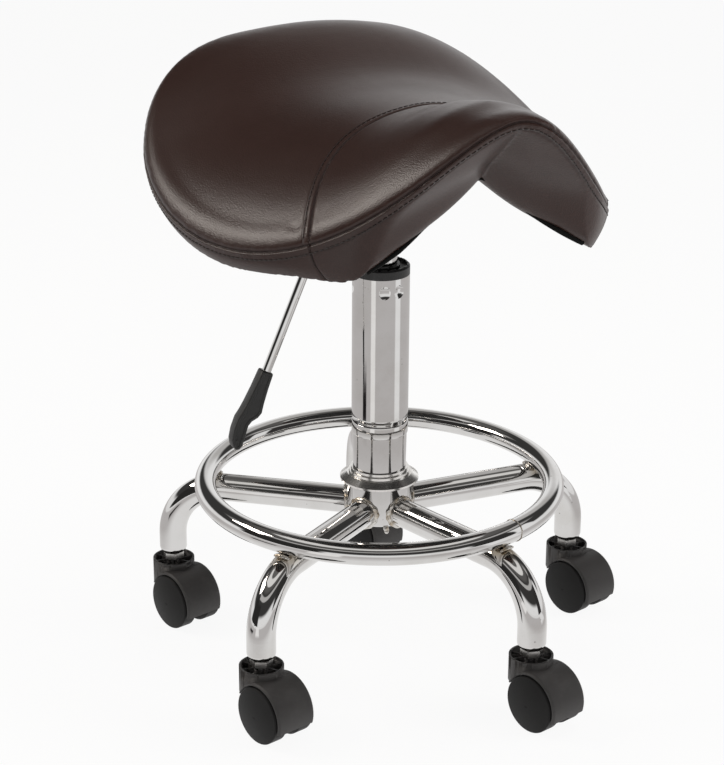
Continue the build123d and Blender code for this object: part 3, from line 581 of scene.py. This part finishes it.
collar_radius = 0.0249
collar_tall = 0.0116
collar_middle = 0.2092
bpy.ops.object.select_all(action="DESELECT")
bpy.ops.mesh.primitive_cylinder_add(
    vertices=96, radius=collar_radius, depth=collar_tall, end_fill_type="NOTHING",
    location=(0, 0, collar_middle),
)
collar = bpy.context.object
collar.name = "standpipe_collar"
bpy.ops.object.transform_apply(location=True)
wall = collar.modifiers.new("wall", "SOLIDIFY")
wall.thickness = 0.0028
wall.offset = -1.0
bpy.ops.object.modifier_apply(modifier="wall")
round_off = collar.modifiers.new("round_off", "BEVEL")
round_off.width = 0.0009
round_off.segments = 3
round_off.angle_limit = math.radians(40)
bpy.ops.object.modifier_apply(modifier="round_off")
collar.data.materials.append(chrome)
bpy.ops.object.shade_smooth_by_angle(angle=math.radians(40))
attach(collar, "base")

dress(zinc, "end_plate", "bearing_lower_race", "bearing_balls", "bearing_upper_race",
      "retaining_clip", "piston", "rod_guide", "release_button")

bush_plastic, shader, wire = new_finish("moulded_black_plastic", (0.016, 0.016, 0.016), 0.42)
spot = wire.node("TexCoord", output="Object")
grit = wire.node("TexNoise", sockets={"Vector": spot, "Scale": 1100.0, "Detail": 3.0})
patchy = {"Vector": spot, "Scale": 60.0, "Detail": 6.0, "Roughness": 0.7}
scuff = wire.node("TexNoise", sockets=patchy)
scuff.ease(0.5, 0.8).blend((0.014, 0.014, 0.014, 1), (0.026, 0.025, 0.025, 1)).into(shader, "Base Color")
(0.34 + scuff * 0.2).into(shader, "Roughness")
wire.node("Bump", sockets={"Strength": 0.2, "Distance": 0.0003, "Height": grit}).into(shader, "Normal")
dress(bush_plastic, "guide_sleeve", "leg_plugs")

rubber, shader, wire = new_finish("black_rubber", (0.014, 0.014, 0.014), 0.7)
spot = wire.node("TexCoord", output="Object")
bloom = wire.node("TexNoise", sockets={"Vector": spot, "Scale": 180.0, "Detail": 5.0})
bloom.ease(0.4, 0.8).blend((0.013, 0.013, 0.013, 1), (0.028, 0.027, 0.026, 1)).into(shader, "Base Color")
(0.6 + bloom * 0.2).into(shader, "Roughness")
wire.node("Bump", sockets={"Strength": 0.15, "Distance": 0.0004, "Height": bloom}).into(shader, "Normal")
dress(rubber, "bump_stop")


# Release lever. A bent chromed rod pivots in a bracket on the plate and presses the button; a black
# moulded grip is pushed on its lower end.
dress(chrome, "lever_rod")
# The grip is drawn flat, across and along the rod from the rod's bend, and then stood up on it.
lean = math.radians(23.4)
rod_bend = (-0.0378, 0, 0.4380)
grip_frame = Matrix.Translation(rod_bend) @ Matrix((
    (-math.cos(lean), -math.sin(lean), 0, 0),
    (0, 0, -1, 0),
    (math.sin(lean), -math.cos(lean), 0, 0),
    (0, 0, 0, 1),
))
grip_thick = 0.0112
grip_edge = 0.0016
grip_outline = np.array([
    (5.8, 176.2), (6.9, 193.4), (8.3, 207.0), (9.4, 214.5), (11.2, 222.5),
    (10.8, 233.0), (9.0, 242.0), (5.6, 247.4), (2.4, 249.6), (-0.6, 248.6),
    (-2.2, 244.5), (-1.4, 234.8), (-0.6, 226.0), (-2.2, 221.6), (-6.4, 217.0),
    (-8.2, 212.2), (-6.8, 203.0), (-5.6, 190.0), (-4.9, 176.2),
]) / 1000
recess_margin = 0.0013
recess_depth = 0.0005
mark_radius = 0.0017
mark_tall = 0.0010
mark_sunk = 0.0006
mark_place = (0.0040, 0.2415)
bpy.ops.object.select_all(action="DESELECT")
bpy.ops.mesh.primitive_circle_add(vertices=len(grip_outline), radius=0.01, fill_type="NGON")
grip = bpy.context.object
grip.name = "moulded_grip"
back = np.full(len(grip_outline), -grip_thick / 2)
put_points(grip, np.column_stack([grip_outline, back]))
bpy.ops.object.mode_set(mode="EDIT")
bpy.ops.mesh.select_mode(type="FACE")
bpy.ops.mesh.select_all(action="SELECT")
bpy.ops.mesh.extrude_region_move(TRANSFORM_OT_translate={"value": (0, 0, grip_thick)})
bpy.ops.mesh.select_all(action="SELECT")
bpy.ops.mesh.normals_make_consistent(inside=False)
bpy.ops.object.mode_set(mode="OBJECT")
edges = grip.modifiers.new("edges", "BEVEL")
edges.width = grip_edge
edges.segments = 3
edges.angle_limit = math.radians(50)
bpy.ops.object.modifier_apply(modifier="edges")
bpy.ops.object.mode_set(mode="EDIT")
bpy.ops.mesh.select_all(action="DESELECT")
bpy.ops.object.mode_set(mode="OBJECT")
for face in grip.data.polygons:
    face.select = abs(face.normal.z) > 0.99 and face.area > 0.0002
bpy.ops.object.mode_set(mode="EDIT")
bpy.ops.mesh.inset(thickness=recess_margin, depth=0.0)
bpy.ops.mesh.inset(thickness=recess_depth, depth=-recess_depth)
bpy.ops.object.mode_set(mode="OBJECT")
grip_pieces = [grip]
for side in (-1, 1):
    bpy.ops.mesh.primitive_cylinder_add(
        vertices=32, radius=mark_radius, depth=mark_tall,
        location=(*mark_place, side * (grip_thick / 2 - mark_sunk)),
    )
    mark = bpy.context.object
    bpy.ops.object.transform_apply(location=True)
    bpy.ops.object.mode_set(mode="EDIT")
    bpy.ops.mesh.select_mode(type="EDGE")
    bpy.ops.mesh.select_all(action="SELECT")
    bpy.ops.mesh.bevel(offset=0.0003, segments=2, affect="EDGES")
    bpy.ops.object.mode_set(mode="OBJECT")
    grip_pieces.append(mark)
grip = join_as("moulded_grip", grip_pieces, bush_plastic)
grip.data.transform(grip_frame)
bpy.ops.object.shade_smooth_by_angle(angle=math.radians(35))
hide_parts("lever_grip")
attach(grip, "lever")


# Seat mount. A pressed, black painted plate with a welded taper socket and lever bracket is bolted
# up into tee nuts in the shell; a wood block above it spreads the load.
plate_paint, shader, wire = new_finish("black_powder_coat", (0.018, 0.018, 0.018), 0.45)
spot = wire.node("TexCoord", output="Object")
peel = wire.node("TexNoise", sockets={"Vector": spot, "Scale": 600.0, "Detail": 3.0})
peel.ease(0.3, 0.75).blend((0.015, 0.015, 0.015, 1), (0.026, 0.025, 0.025, 1)).into(shader, "Base Color")
(0.36 + peel * 0.18).into(shader, "Roughness")
wire.node("Bump", sockets={"Strength": 0.3, "Distance": 0.0004, "Height": peel}).into(shader, "Normal")
dress(plate_paint, "mount_plate", "taper_socket", "lever_bracket")
dress(zinc, "lever_pivot_pin", "tee_nuts", "plate_bolts", "block_screws")

board, shader, wire = new_finish("plywood", (0.42, 0.29, 0.17), 0.7)
spot = wire.node("TexCoord", output="Object")
figure = wire.node("Mapping", sockets={"Vector": spot, "Scale": (90.0, 6.0, 240.0)})
wavy = {"Vector": figure, "Scale": 1.0, "Detail": 6.0, "Distortion": 0.6}
grain = wire.node("TexNoise", sockets=wavy)
grain.ease(0.3, 0.7).blend((0.50, 0.36, 0.22, 1), (0.30, 0.19, 0.10, 1)).into(shader, "Base Color")
(0.6 + grain * 0.2).into(shader, "Roughness")
wire.node("Bump", sockets={"Strength": 0.2, "Distance": 0.0005, "Height": grain}).into(shader, "Normal")
dress(board, "mounting_block")


# Seat shell. One black moulding, arched like a saddle, that carries the foam; the cover is drawn over
# its rim and held underneath.
dress(bush_plastic, "seat_shell")


# Saddle cushion. Moulded foam under dark brown leatherette, sewn from a top panel, a front panel
# and a side band; the seams pull the cover in and the foam swells between them.
front_reach = 237.0
rear_reach = 174.0
half_width = 193.0
nose_narrowing = 27.5
front_fullness = 18.0
rear_fullness = 13.5
side_fullness = 17.0
front_height = 535.0
rear_height = 529.0
side_height = 431.0
flank_shift = 24.4


def seam_place(angle):
    """A place on the rim seam, at an angle from the front; the sizes above are in millimetres."""
    full = front_fullness + (rear_fullness - front_fullness) * (1 - math.cos(angle)) / 2
    ahead = (front_reach - rear_reach) / 2 + nose_narrowing * (math.cos(2 * angle) - 1)
    ahead += ((front_reach + rear_reach) / 2 + full) * math.cos(angle) - full * math.cos(3 * angle)
    out = (half_width - side_fullness) * math.sin(angle) - side_fullness * math.sin(3 * angle)
    ends = (front_height + rear_height) / 2
    tilt = (front_height - rear_height) / 2 - flank_shift
    up = (ends + side_height) / 2 + tilt * math.cos(angle)
    up += (ends - side_height) / 2 * math.cos(2 * angle) + flank_shift * math.cos(3 * angle)
    return Vector((out, -ahead, up)) / 1000


def nearest_on(line, spots):
    """For each spot, the index of the line's nearest place and the distance to it."""
    tree = KDTree(len(line))
    for k, place in enumerate(line):
        tree.insert(place, k)
    tree.balance()
    return np.array([tree.find(spot)[1:] for spot in spots])


saddle = own_copy("saddle_cover", "seat_cushion")
rim = [seam_place(math.radians(0.3 * k)) for k in range(-600, 600)]
sharp_edge = math.radians(35)
edge_step = 0.001
rim_clear = 0.012
lower_edge = []
bpy.ops.object.mode_set(mode="EDIT")
bpy.ops.mesh.select_mode(type="EDGE")
bpy.ops.mesh.select_all(action="DESELECT")
bpy.ops.mesh.edges_select_sharp(sharpness=sharp_edge)
bpy.ops.object.mode_set(mode="OBJECT")
for edge in saddle.data.edges:
    if edge.select:
        first, second = (saddle.data.vertices[k].co.copy() for k in edge.vertices)
        steps = max(1, int((second - first).length / edge_step))
        lower_edge += [first.lerp(second, k / steps) for k in range(steps + 1)]
rim_gaps = nearest_on(rim, lower_edge)[:, 1]
lower_edge = [place for place, gap in zip(lower_edge, rim_gaps) if gap > rim_clear]


def smooth_skin(factor, times, group=""):
    calm = saddle.modifiers.new("calm", "SMOOTH")
    calm.factor = factor
    calm.iterations = times
    calm.vertex_group = group
    bpy.ops.object.modifier_apply(modifier="calm")


def draw_to_foam():
    wrap = saddle.modifiers.new("wrap", "SHRINKWRAP")
    wrap.target = nodes["seat_cushion"]
    wrap.wrap_method = "NEAREST_SURFACEPOINT"
    bpy.ops.object.modifier_apply(modifier="wrap")


def normals_of(piece):
    ways = np.empty(len(piece.data.vertices) * 3, np.float32)
    piece.data.vertex_normals.foreach_get("vector", ways)
    return ways.reshape(-1, 3).astype(float)


skin = saddle.modifiers.new("even_skin", "REMESH")
skin.mode = "VOXEL"
skin.voxel_size = 0.0034
bpy.ops.object.modifier_apply(modifier="even_skin")
smooth_skin(0.5, 1)
draw_to_foam()
smooth_skin(0.5, 2)

# The thin lower edge is lost between the even points, so the nearest of them are drawn back onto it;
# those that meet there are merged, since the cover can't swell with two of its points in one place.
edge_zone = 0.0060
edge_fade = 0.0035
merged_gap = 0.0008
spots = points_of(saddle)
near = nearest_on(lower_edge, spots)
pull = np.clip((edge_zone - near[:, 1]) / edge_fade, 0, 1)[:, None]
edge_spots = np.array([tuple(place) for place in lower_edge])[near[:, 0].astype(int)]
put_points(saddle, spots + pull * (edge_spots - spots))
smooth_skin(0.3, 1)
bpy.ops.object.mode_set(mode="EDIT")
bpy.ops.mesh.select_mode(type="VERT")
bpy.ops.mesh.select_all(action="SELECT")
bpy.ops.mesh.remove_doubles(threshold=merged_gap)
bpy.ops.mesh.normals_make_consistent(inside=False)
bpy.ops.object.mode_set(mode="OBJECT")


# The front panel's seam crosses the waist and runs forward down both flanks to the rim.
cross_waist = 0.0820
cross_run = 0.0646
cross_half = 0.133


def cross_reach(out):
    return cross_waist + cross_run * (np.abs(out) / cross_half) ** 3.6


def skin_tree(piece):
    return BVHTree.FromPolygons(
        [v.co for v in piece.data.vertices], [tuple(p.vertices) for p in piece.data.polygons]
    )


def hump(gap, width):
    return np.exp(-((gap / width) ** 2))


# The front panel is stuffed fuller than the dish behind it, and its crest is a little flatter.
panel_rise = 0.0068
panel_reach = 0.135
crest_drop = 0.0026
crest_reach = 0.202
spots = points_of(saddle)
ways = normals_of(saddle)
reach = -spots[:, 1]
facing_up = np.clip(ways[:, 2] / 0.4, 0, 1)
fuller = panel_rise * hump(reach - panel_reach, 0.030) * hump(spots[:, 0], 0.062)
fuller -= crest_drop * hump(reach - crest_reach, 0.020) * hump(spots[:, 0], 0.050)
spots[:, 2] += fuller * facing_up
put_points(saddle, spots)

# Air pressure swells the cover between the seams, which are held, as is the band at the sides.
drawn_in = 0.0012
swell_cap = 0.0030
swell_frames = 20
rim_hold = 0.010
cross_hold = 0.008
rim_fade = 0.025
spots = points_of(saddle)
ways = normals_of(saddle)
to_rim = nearest_on(rim, spots)[:, 1]
to_cross = np.abs(reach - cross_reach(spots[:, 0]))
to_cross[(ways[:, 2] < 0.1) | (np.abs(spots[:, 0]) > 0.140)] = 1.0
hold = np.clip(1.25 - to_rim / rim_hold, 0, 1)
hold = np.maximum(hold, 0.55 * np.clip(1.2 - to_cross / cross_hold, 0, 1))
hold = np.maximum(hold, np.clip((0.45 - ways[:, 2]) / 0.2, 0, 1))
under = ways[:, 2] < -0.5
put_points(saddle, spots - drawn_in * ways * np.where(under, 0.0, 1.0)[:, None])
held = saddle.vertex_groups.new(name="held")
for k in np.nonzero(hold > 0.01)[0]:
    held.add([int(k)], float(hold[k]), "REPLACE")
before = points_of(saddle)
foam = saddle.modifiers.new("foam", "CLOTH")
foam.settings.quality = 5
foam.settings.mass = 0.3
foam.settings.tension_stiffness = 15
foam.settings.compression_stiffness = 15
foam.settings.bending_stiffness = 5.0
foam.settings.use_pressure = True
foam.settings.uniform_pressure_force = 4.0
foam.settings.effector_weights.gravity = 0.0
foam.settings.vertex_group_mass = "held"
foam.point_cache.frame_start = 1
foam.point_cache.frame_end = swell_frames
for step in range(1, swell_frames + 1):
    bpy.context.scene.frame_set(step)
bpy.ops.object.modifier_apply(modifier="foam")
bpy.context.scene.frame_set(1)
saddle.vertex_groups.clear()
outward = ((points_of(saddle) - before) * ways).sum(axis=1)
rise = np.clip(outward, 0.0, swell_cap)

# The swelling is evened out with its neighbours before the cover takes it on.
ends = np.empty(len(saddle.data.edges) * 2, np.int32)
saddle.data.edges.foreach_get("vertices", ends)
ends = ends.reshape(-1, 2)
count = np.bincount(ends.ravel(), minlength=len(rise))
for _ in range(14):
    total = np.bincount(ends[:, 0], rise[ends[:, 1]], len(rise))
    total += np.bincount(ends[:, 1], rise[ends[:, 0]], len(rise))
    rise = (rise + total) / (1 + count)
top = np.clip((ways[:, 2] - 0.1) / 0.3, 0, 1)
move = rise - drawn_in * top * np.clip(to_rim / rim_fade, 0, 1)
put_points(saddle, spots + ways * move[:, None])
upper = saddle.vertex_groups.new(name="upper")
for k in np.nonzero(top > 0.01)[0]:
    upper.add([int(k)], float(top[k]), "REPLACE")
smooth_skin(0.5, 5, "upper")
saddle.vertex_groups.clear()
finer = saddle.modifiers.new("finer", "SUBSURF")
finer.levels = finer.render_levels = 1
bpy.ops.object.modifier_apply(modifier="finer")

tree = skin_tree(saddle)


def lay(line):
    """The line drawn onto the cover: places and outward directions."""
    found = [tree.find_nearest(place) for place in line]
    return [hit[0] for hit in found], [hit[1] for hit in found]


def even(line, steps=3):
    spots = np.array([tuple(place) for place in line])
    for _ in range(steps):
        spots[1:-1] = (spots[:-2] + 2 * spots[1:-1] + spots[2:]) / 4
    return [Vector(place) for place in spots]


def cross_place(out):
    return tree.ray_cast(Vector((out, -cross_reach(out), 1.0)), Vector((0, 0, -1)))[0]


cross = [cross_place(0.001 * k) for k in range(-150, 151)]
cross = [place for place in cross if place is not None]
rim_gaps = nearest_on(rim, cross)[:, 1]
cross = [place for place, gap in zip(cross, rim_gaps) if gap > 0.0015 and place.z > 0.4]
cross = even(cross)
rim_laid, rim_out = lay(rim)
rim_laid = even(rim_laid)

rim_spots = np.array([tuple(p) for p in rim_laid])
rim_along = np.roll(rim_spots, -1, axis=0) - np.roll(rim_spots, 1, axis=0)
rim_along /= np.linalg.norm(rim_along, axis=1, keepdims=True)
rim_inward = np.cross(np.array([tuple(p) for p in rim_out]), rim_along)
middle = np.array([0.0, -0.02, 0.56])
rim_inward *= np.sign(((middle - rim_spots) * rim_inward).sum(axis=1, keepdims=True))
cross_spots = np.array([tuple(p) for p in cross])

# Below the rim a short seam goes on from each end of the cross seam, down the band.
down = []
for side in (-1, 1):
    start = max(cross, key=lambda place: side * place.x)
    for k in range(40):
        drop = 0.001 * k
        down.append(start + Vector((0, -0.010 * (drop / 0.030) ** 1.5, -0.002 - drop)))
down, _ = lay(down)
down_spots = np.array([tuple(p) for p in down])


def seam_gaps(spots):
    """Distances to the rim seam, the cross seam and the band seams, with a sign for the side."""
    way = nearest_on(rim_laid, spots)
    index = way[:, 0].astype(int)
    inside = ((spots - rim_spots[index]) * rim_inward[index]).sum(axis=1)
    to_rim = np.sign(inside) * way[:, 1]
    way = nearest_on(cross, spots)
    to_cross = np.sign(spots[:, 1] - cross_spots[way[:, 0].astype(int)][:, 1]) * way[:, 1]
    to_cross = np.where((to_rim > -0.0005) & (spots[:, 2] > 0.40), to_cross, 0.05)
    way = nearest_on(down, spots)
    to_down = np.sign(spots[:, 1] - down_spots[way[:, 0].astype(int)][:, 1]) * way[:, 1]
    to_down = np.where(to_rim < 0.0008, to_down, 0.05)
    return to_rim, to_cross, to_down, index


# More points along the seams, so that they are sunk into the cover and not only painted on.
seam_zone = 0.0042
groove_deep = 0.0009
ridge_high = 0.0004
to_rim, to_cross, to_down, _ = seam_gaps(points_of(saddle))
near = np.abs([to_rim, to_cross, to_down]).min(axis=0) < seam_zone
along_seams = [bool(near[list(face.vertices)].all()) for face in saddle.data.polygons]
bpy.ops.object.mode_set(mode="EDIT")
bpy.ops.mesh.select_mode(type="FACE")
bpy.ops.mesh.select_all(action="DESELECT")
bpy.ops.object.mode_set(mode="OBJECT")
saddle.data.polygons.foreach_set("select", along_seams)
bpy.ops.object.mode_set(mode="EDIT")
bpy.ops.mesh.subdivide(number_cuts=1, smoothness=0.0)
bpy.ops.object.mode_set(mode="OBJECT")

spots = points_of(saddle)
to_rim, to_cross, to_down, index = seam_gaps(spots)
groove = groove_deep * (hump(to_rim, 0.0015) + hump(to_cross, 0.0014) + hump(to_down, 0.0014))
groove -= ridge_high * (hump(to_rim + 0.0026, 0.0014) + hump(to_cross - 0.0028, 0.0018))
put_points(saddle, spots - normals_of(saddle) * groove[:, None])

# The material reads each point's distances from the seams, and how far along the rim it is, in mm.
along = index * (np.linalg.norm(np.diff(rim_spots, axis=0), axis=1).sum() / len(rim_spots))
for name, values in (("seam", to_rim), ("cross", to_cross), ("down", to_down), ("along", along)):
    layer = saddle.data.attributes.new(name, "FLOAT", "POINT")
    layer.data.foreach_set("value", (values * 1000).astype(np.float32))

rim_row = 0.0068
cross_row = 0.0066
hide, shader, wire = new_finish("brown_leatherette", (0.034, 0.0195, 0.016), 0.36)
shader.inputs["Specular IOR Level"].default_value = 0.38
spot = wire.node("TexCoord", output="Object")
seam = wire.node("Attribute", {"attribute_name": "seam"}, output="Fac")
crossing = wire.node("Attribute", {"attribute_name": "cross"}, output="Fac")
falling = wire.node("Attribute", {"attribute_name": "down"}, output="Fac")
run = wire.node("Attribute", {"attribute_name": "along"}, output="Fac")
pebbled = {"Vector": spot, "Scale": 820.0, "Smoothness": 0.6}
pores = wire.node("TexVoronoi", {"feature": "SMOOTH_F1"}, pebbled)
creased = {"Vector": spot, "Scale": 420.0, "Detail": 4.0, "Roughness": 0.6}
creases = wire.node("TexNoise", sockets=creased)
tone = wire.node("TexNoise", sockets={"Vector": spot, "Scale": 14.0, "Detail": 3.0})
line = seam.maths("EXPONENT", 0.0 - (seam * seam) / 0.7)
line = line.maths("MAXIMUM", line, line.maths("EXPONENT", 0.0 - (crossing * crossing) / 0.6))
line = line.maths("MAXIMUM", line, line.maths("EXPONENT", 0.0 - (falling * falling) / 0.5))
below = seam + 1.9
welt = below.maths("EXPONENT", 0.0 - (below * below) / 0.9)
row = seam + 1000 * rim_row
stitch_groove_and_shade = row.maths("EXPONENT", 0.0 - (row * row) / 1.4)
row = crossing - 1000 * cross_row
stitch_groove_and_shade = stitch_groove_and_shade + row.maths("EXPONENT", 0.0 - (row * row) / 1.4)
near = within(seam, -4.0, 1.0, 9.0)
pucker = (run * 0.52).maths("SINE", run * 0.52 + creases * 3.0) * near
base = tone.ease(0.3, 0.7).blend((0.0320, 0.0148, 0.0116, 1), (0.0365, 0.0175, 0.0140, 1))
# The hollows of the grain are painted darker, as painted shade in them.
base = (pores.ease(0.25, 0.75) * 0.35).blend(base, (0.0225, 0.0104, 0.0082, 1))
# The seam lines and the stitch rows are painted darker, as painted shade in their grooves.
base = (line * 0.6 + stitch_groove_and_shade * 0.25).blend(base, (0.008, 0.005, 0.0045, 1))
base.into(shader, "Base Color")
(0.26 + tone * 0.06 + pores * 0.08 + line * 0.2).into(shader, "Roughness")
height = creases * 0.07 - pores * 0.13 - line * 0.9 + welt * 0.45 - stitch_groove_and_shade * 0.40 + pucker * 0.08
wire.node("Bump", sockets={"Strength": 0.8, "Distance": 0.001, "Height": height}).into(shader, "Normal")
saddle.data.materials.append(hide)
bpy.ops.object.shade_smooth()
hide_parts("seat_cushion")
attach(saddle, "seat")


# Stitching. Dark bonded thread holds the seam allowances down: one row on the band under the rim
# seam, and one on the top panel behind the front panel's seam.
thread, shader, wire = new_finish("dark_thread", (0.012, 0.008, 0.007), 0.55)
spot = wire.node("TexCoord", output="Object")
twist = wire.node("TexNoise", sockets={"Vector": spot, "Scale": 1800.0, "Detail": 2.0})
twist.blend((0.010, 0.007, 0.006, 1), (0.022, 0.015, 0.013, 1)).into(shader, "Base Color")
(0.45 + twist * 0.25).into(shader, "Roughness")
wire.node("Bump", sockets={"Strength": 0.4, "Distance": 0.0002, "Height": twist}).into(shader, "Normal")
stitch_long = 0.0036
stitch_pitch = 0.0050
thread_radius = 0.00042
thread_proud = 0.0002
tree = skin_tree(saddle)


def path_along(name, line):
    curve = bpy.data.curves.new(name, "CURVE")
    curve.dimensions = "3D"
    spline = curve.splines.new("POLY")
    spline.points.add(len(line) - 1)
    for point, place in zip(spline.points, line):
        point.co = (*place, 1)
    path = bpy.data.objects.new(name, curve)
    bpy.context.collection.objects.link(path)
    return path


def stitch_row(name, line):
    line, ways = lay(line)
    line = even([place + way * thread_proud for place, way in zip(line, ways)], 4)
    guide = path_along(name + "_path", line)
    bpy.ops.object.select_all(action="DESELECT")
    bpy.ops.mesh.primitive_cylinder_add(
        vertices=6, radius=thread_radius, depth=stitch_long,
        location=(stitch_long / 2, 0, 0), rotation=(0, math.pi / 2, 0),
    )
    row = bpy.context.object
    row.name = name
    bpy.ops.object.transform_apply(location=True, rotation=True, scale=True)
    bpy.ops.object.mode_set(mode="EDIT")
    bpy.ops.mesh.select_mode(type="EDGE")
    bpy.ops.mesh.select_all(action="SELECT")
    bpy.ops.mesh.bevel(offset=0.00016, segments=1, affect="EDGES")
    bpy.ops.object.mode_set(mode="OBJECT")
    repeat = row.modifiers.new("repeat", "ARRAY")
    repeat.fit_type = "FIT_CURVE"
    repeat.curve = guide
    repeat.use_relative_offset = False
    repeat.use_constant_offset = True
    repeat.constant_offset_displace = (stitch_pitch, 0, 0)
    bpy.ops.object.modifier_apply(modifier="repeat")
    follow = row.modifiers.new("follow", "CURVE")
    follow.object = guide
    follow.deform_axis = "POS_X"
    bpy.ops.object.modifier_apply(modifier="follow")
    bpy.data.objects.remove(guide)
    row.data.materials.append(thread)
    bpy.ops.object.shade_smooth()
    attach(row, "seat")


stitch_row("rim_stitches", [Vector(p) for p in rim_spots - rim_row * rim_inward])
stitch_row("cross_stitches", [place + Vector((0, cross_row, 0)) for place in cross])


# Shell lip. The moulded shell ends in a dull black edge under the front band, where the cover is
# tucked over it; it shows as a line along the lower half of each flank.
lip_reach = 177.6
lip_height = 476.6
lip_slope = 0.79
lip_steps = 48
lip_pitch = 2.0
lip_thick = 0.0024


def lip_place(out):
    """A place on the lip, at a distance out from the middle, in millimetres."""
    fall = math.hypot(out, 8) - 8
    sag = 4.0 * math.sin(math.pi * abs(out) / 110)
    tuck = 5.2 * min(1.0, max(0.0, (70 - abs(out)) / 22))
    back = 0.00075 * out**2 - lip_reach + tuck
    return Vector((out, back, lip_height - sag - lip_slope * fall + 0.0009 * fall**2)) / 1000


lip_line = [lip_place(lip_pitch * k) for k in range(-lip_steps, lip_steps + 1)]
lip = path_along("shell_lip", lip_line)
lip.data.bevel_depth = lip_thick
lip.data.bevel_resolution = 3
lip.data.use_fill_caps = True
for point in lip.data.splines[0].points:
    point.radius = 0.6 + 4.5 * abs(point.co.x)
bpy.ops.object.select_all(action="DESELECT")
bpy.context.view_layer.objects.active = lip
lip.select_set(True)
bpy.ops.object.convert(target="MESH")
lip = bpy.context.object
edge_plastic, shader, wire = new_finish("dull_black_edge", (0.004, 0.004, 0.004), 0.7)
shader.inputs["Specular IOR Level"].default_value = 0.08
grit = wire.node("TexNoise", sockets={"Vector": wire.node("TexCoord", output="Object"), "Scale": 900.0})
grit.blend((0.003, 0.003, 0.003, 1), (0.007, 0.007, 0.007, 1)).into(shader, "Base Color")
wire.node("Bump", sockets={"Strength": 0.2, "Distance": 0.0003, "Height": grit}).into(shader, "Normal")
lip.data.materials.append(edge_plastic)
bpy.ops.object.shade_smooth()
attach(lip, "seat")
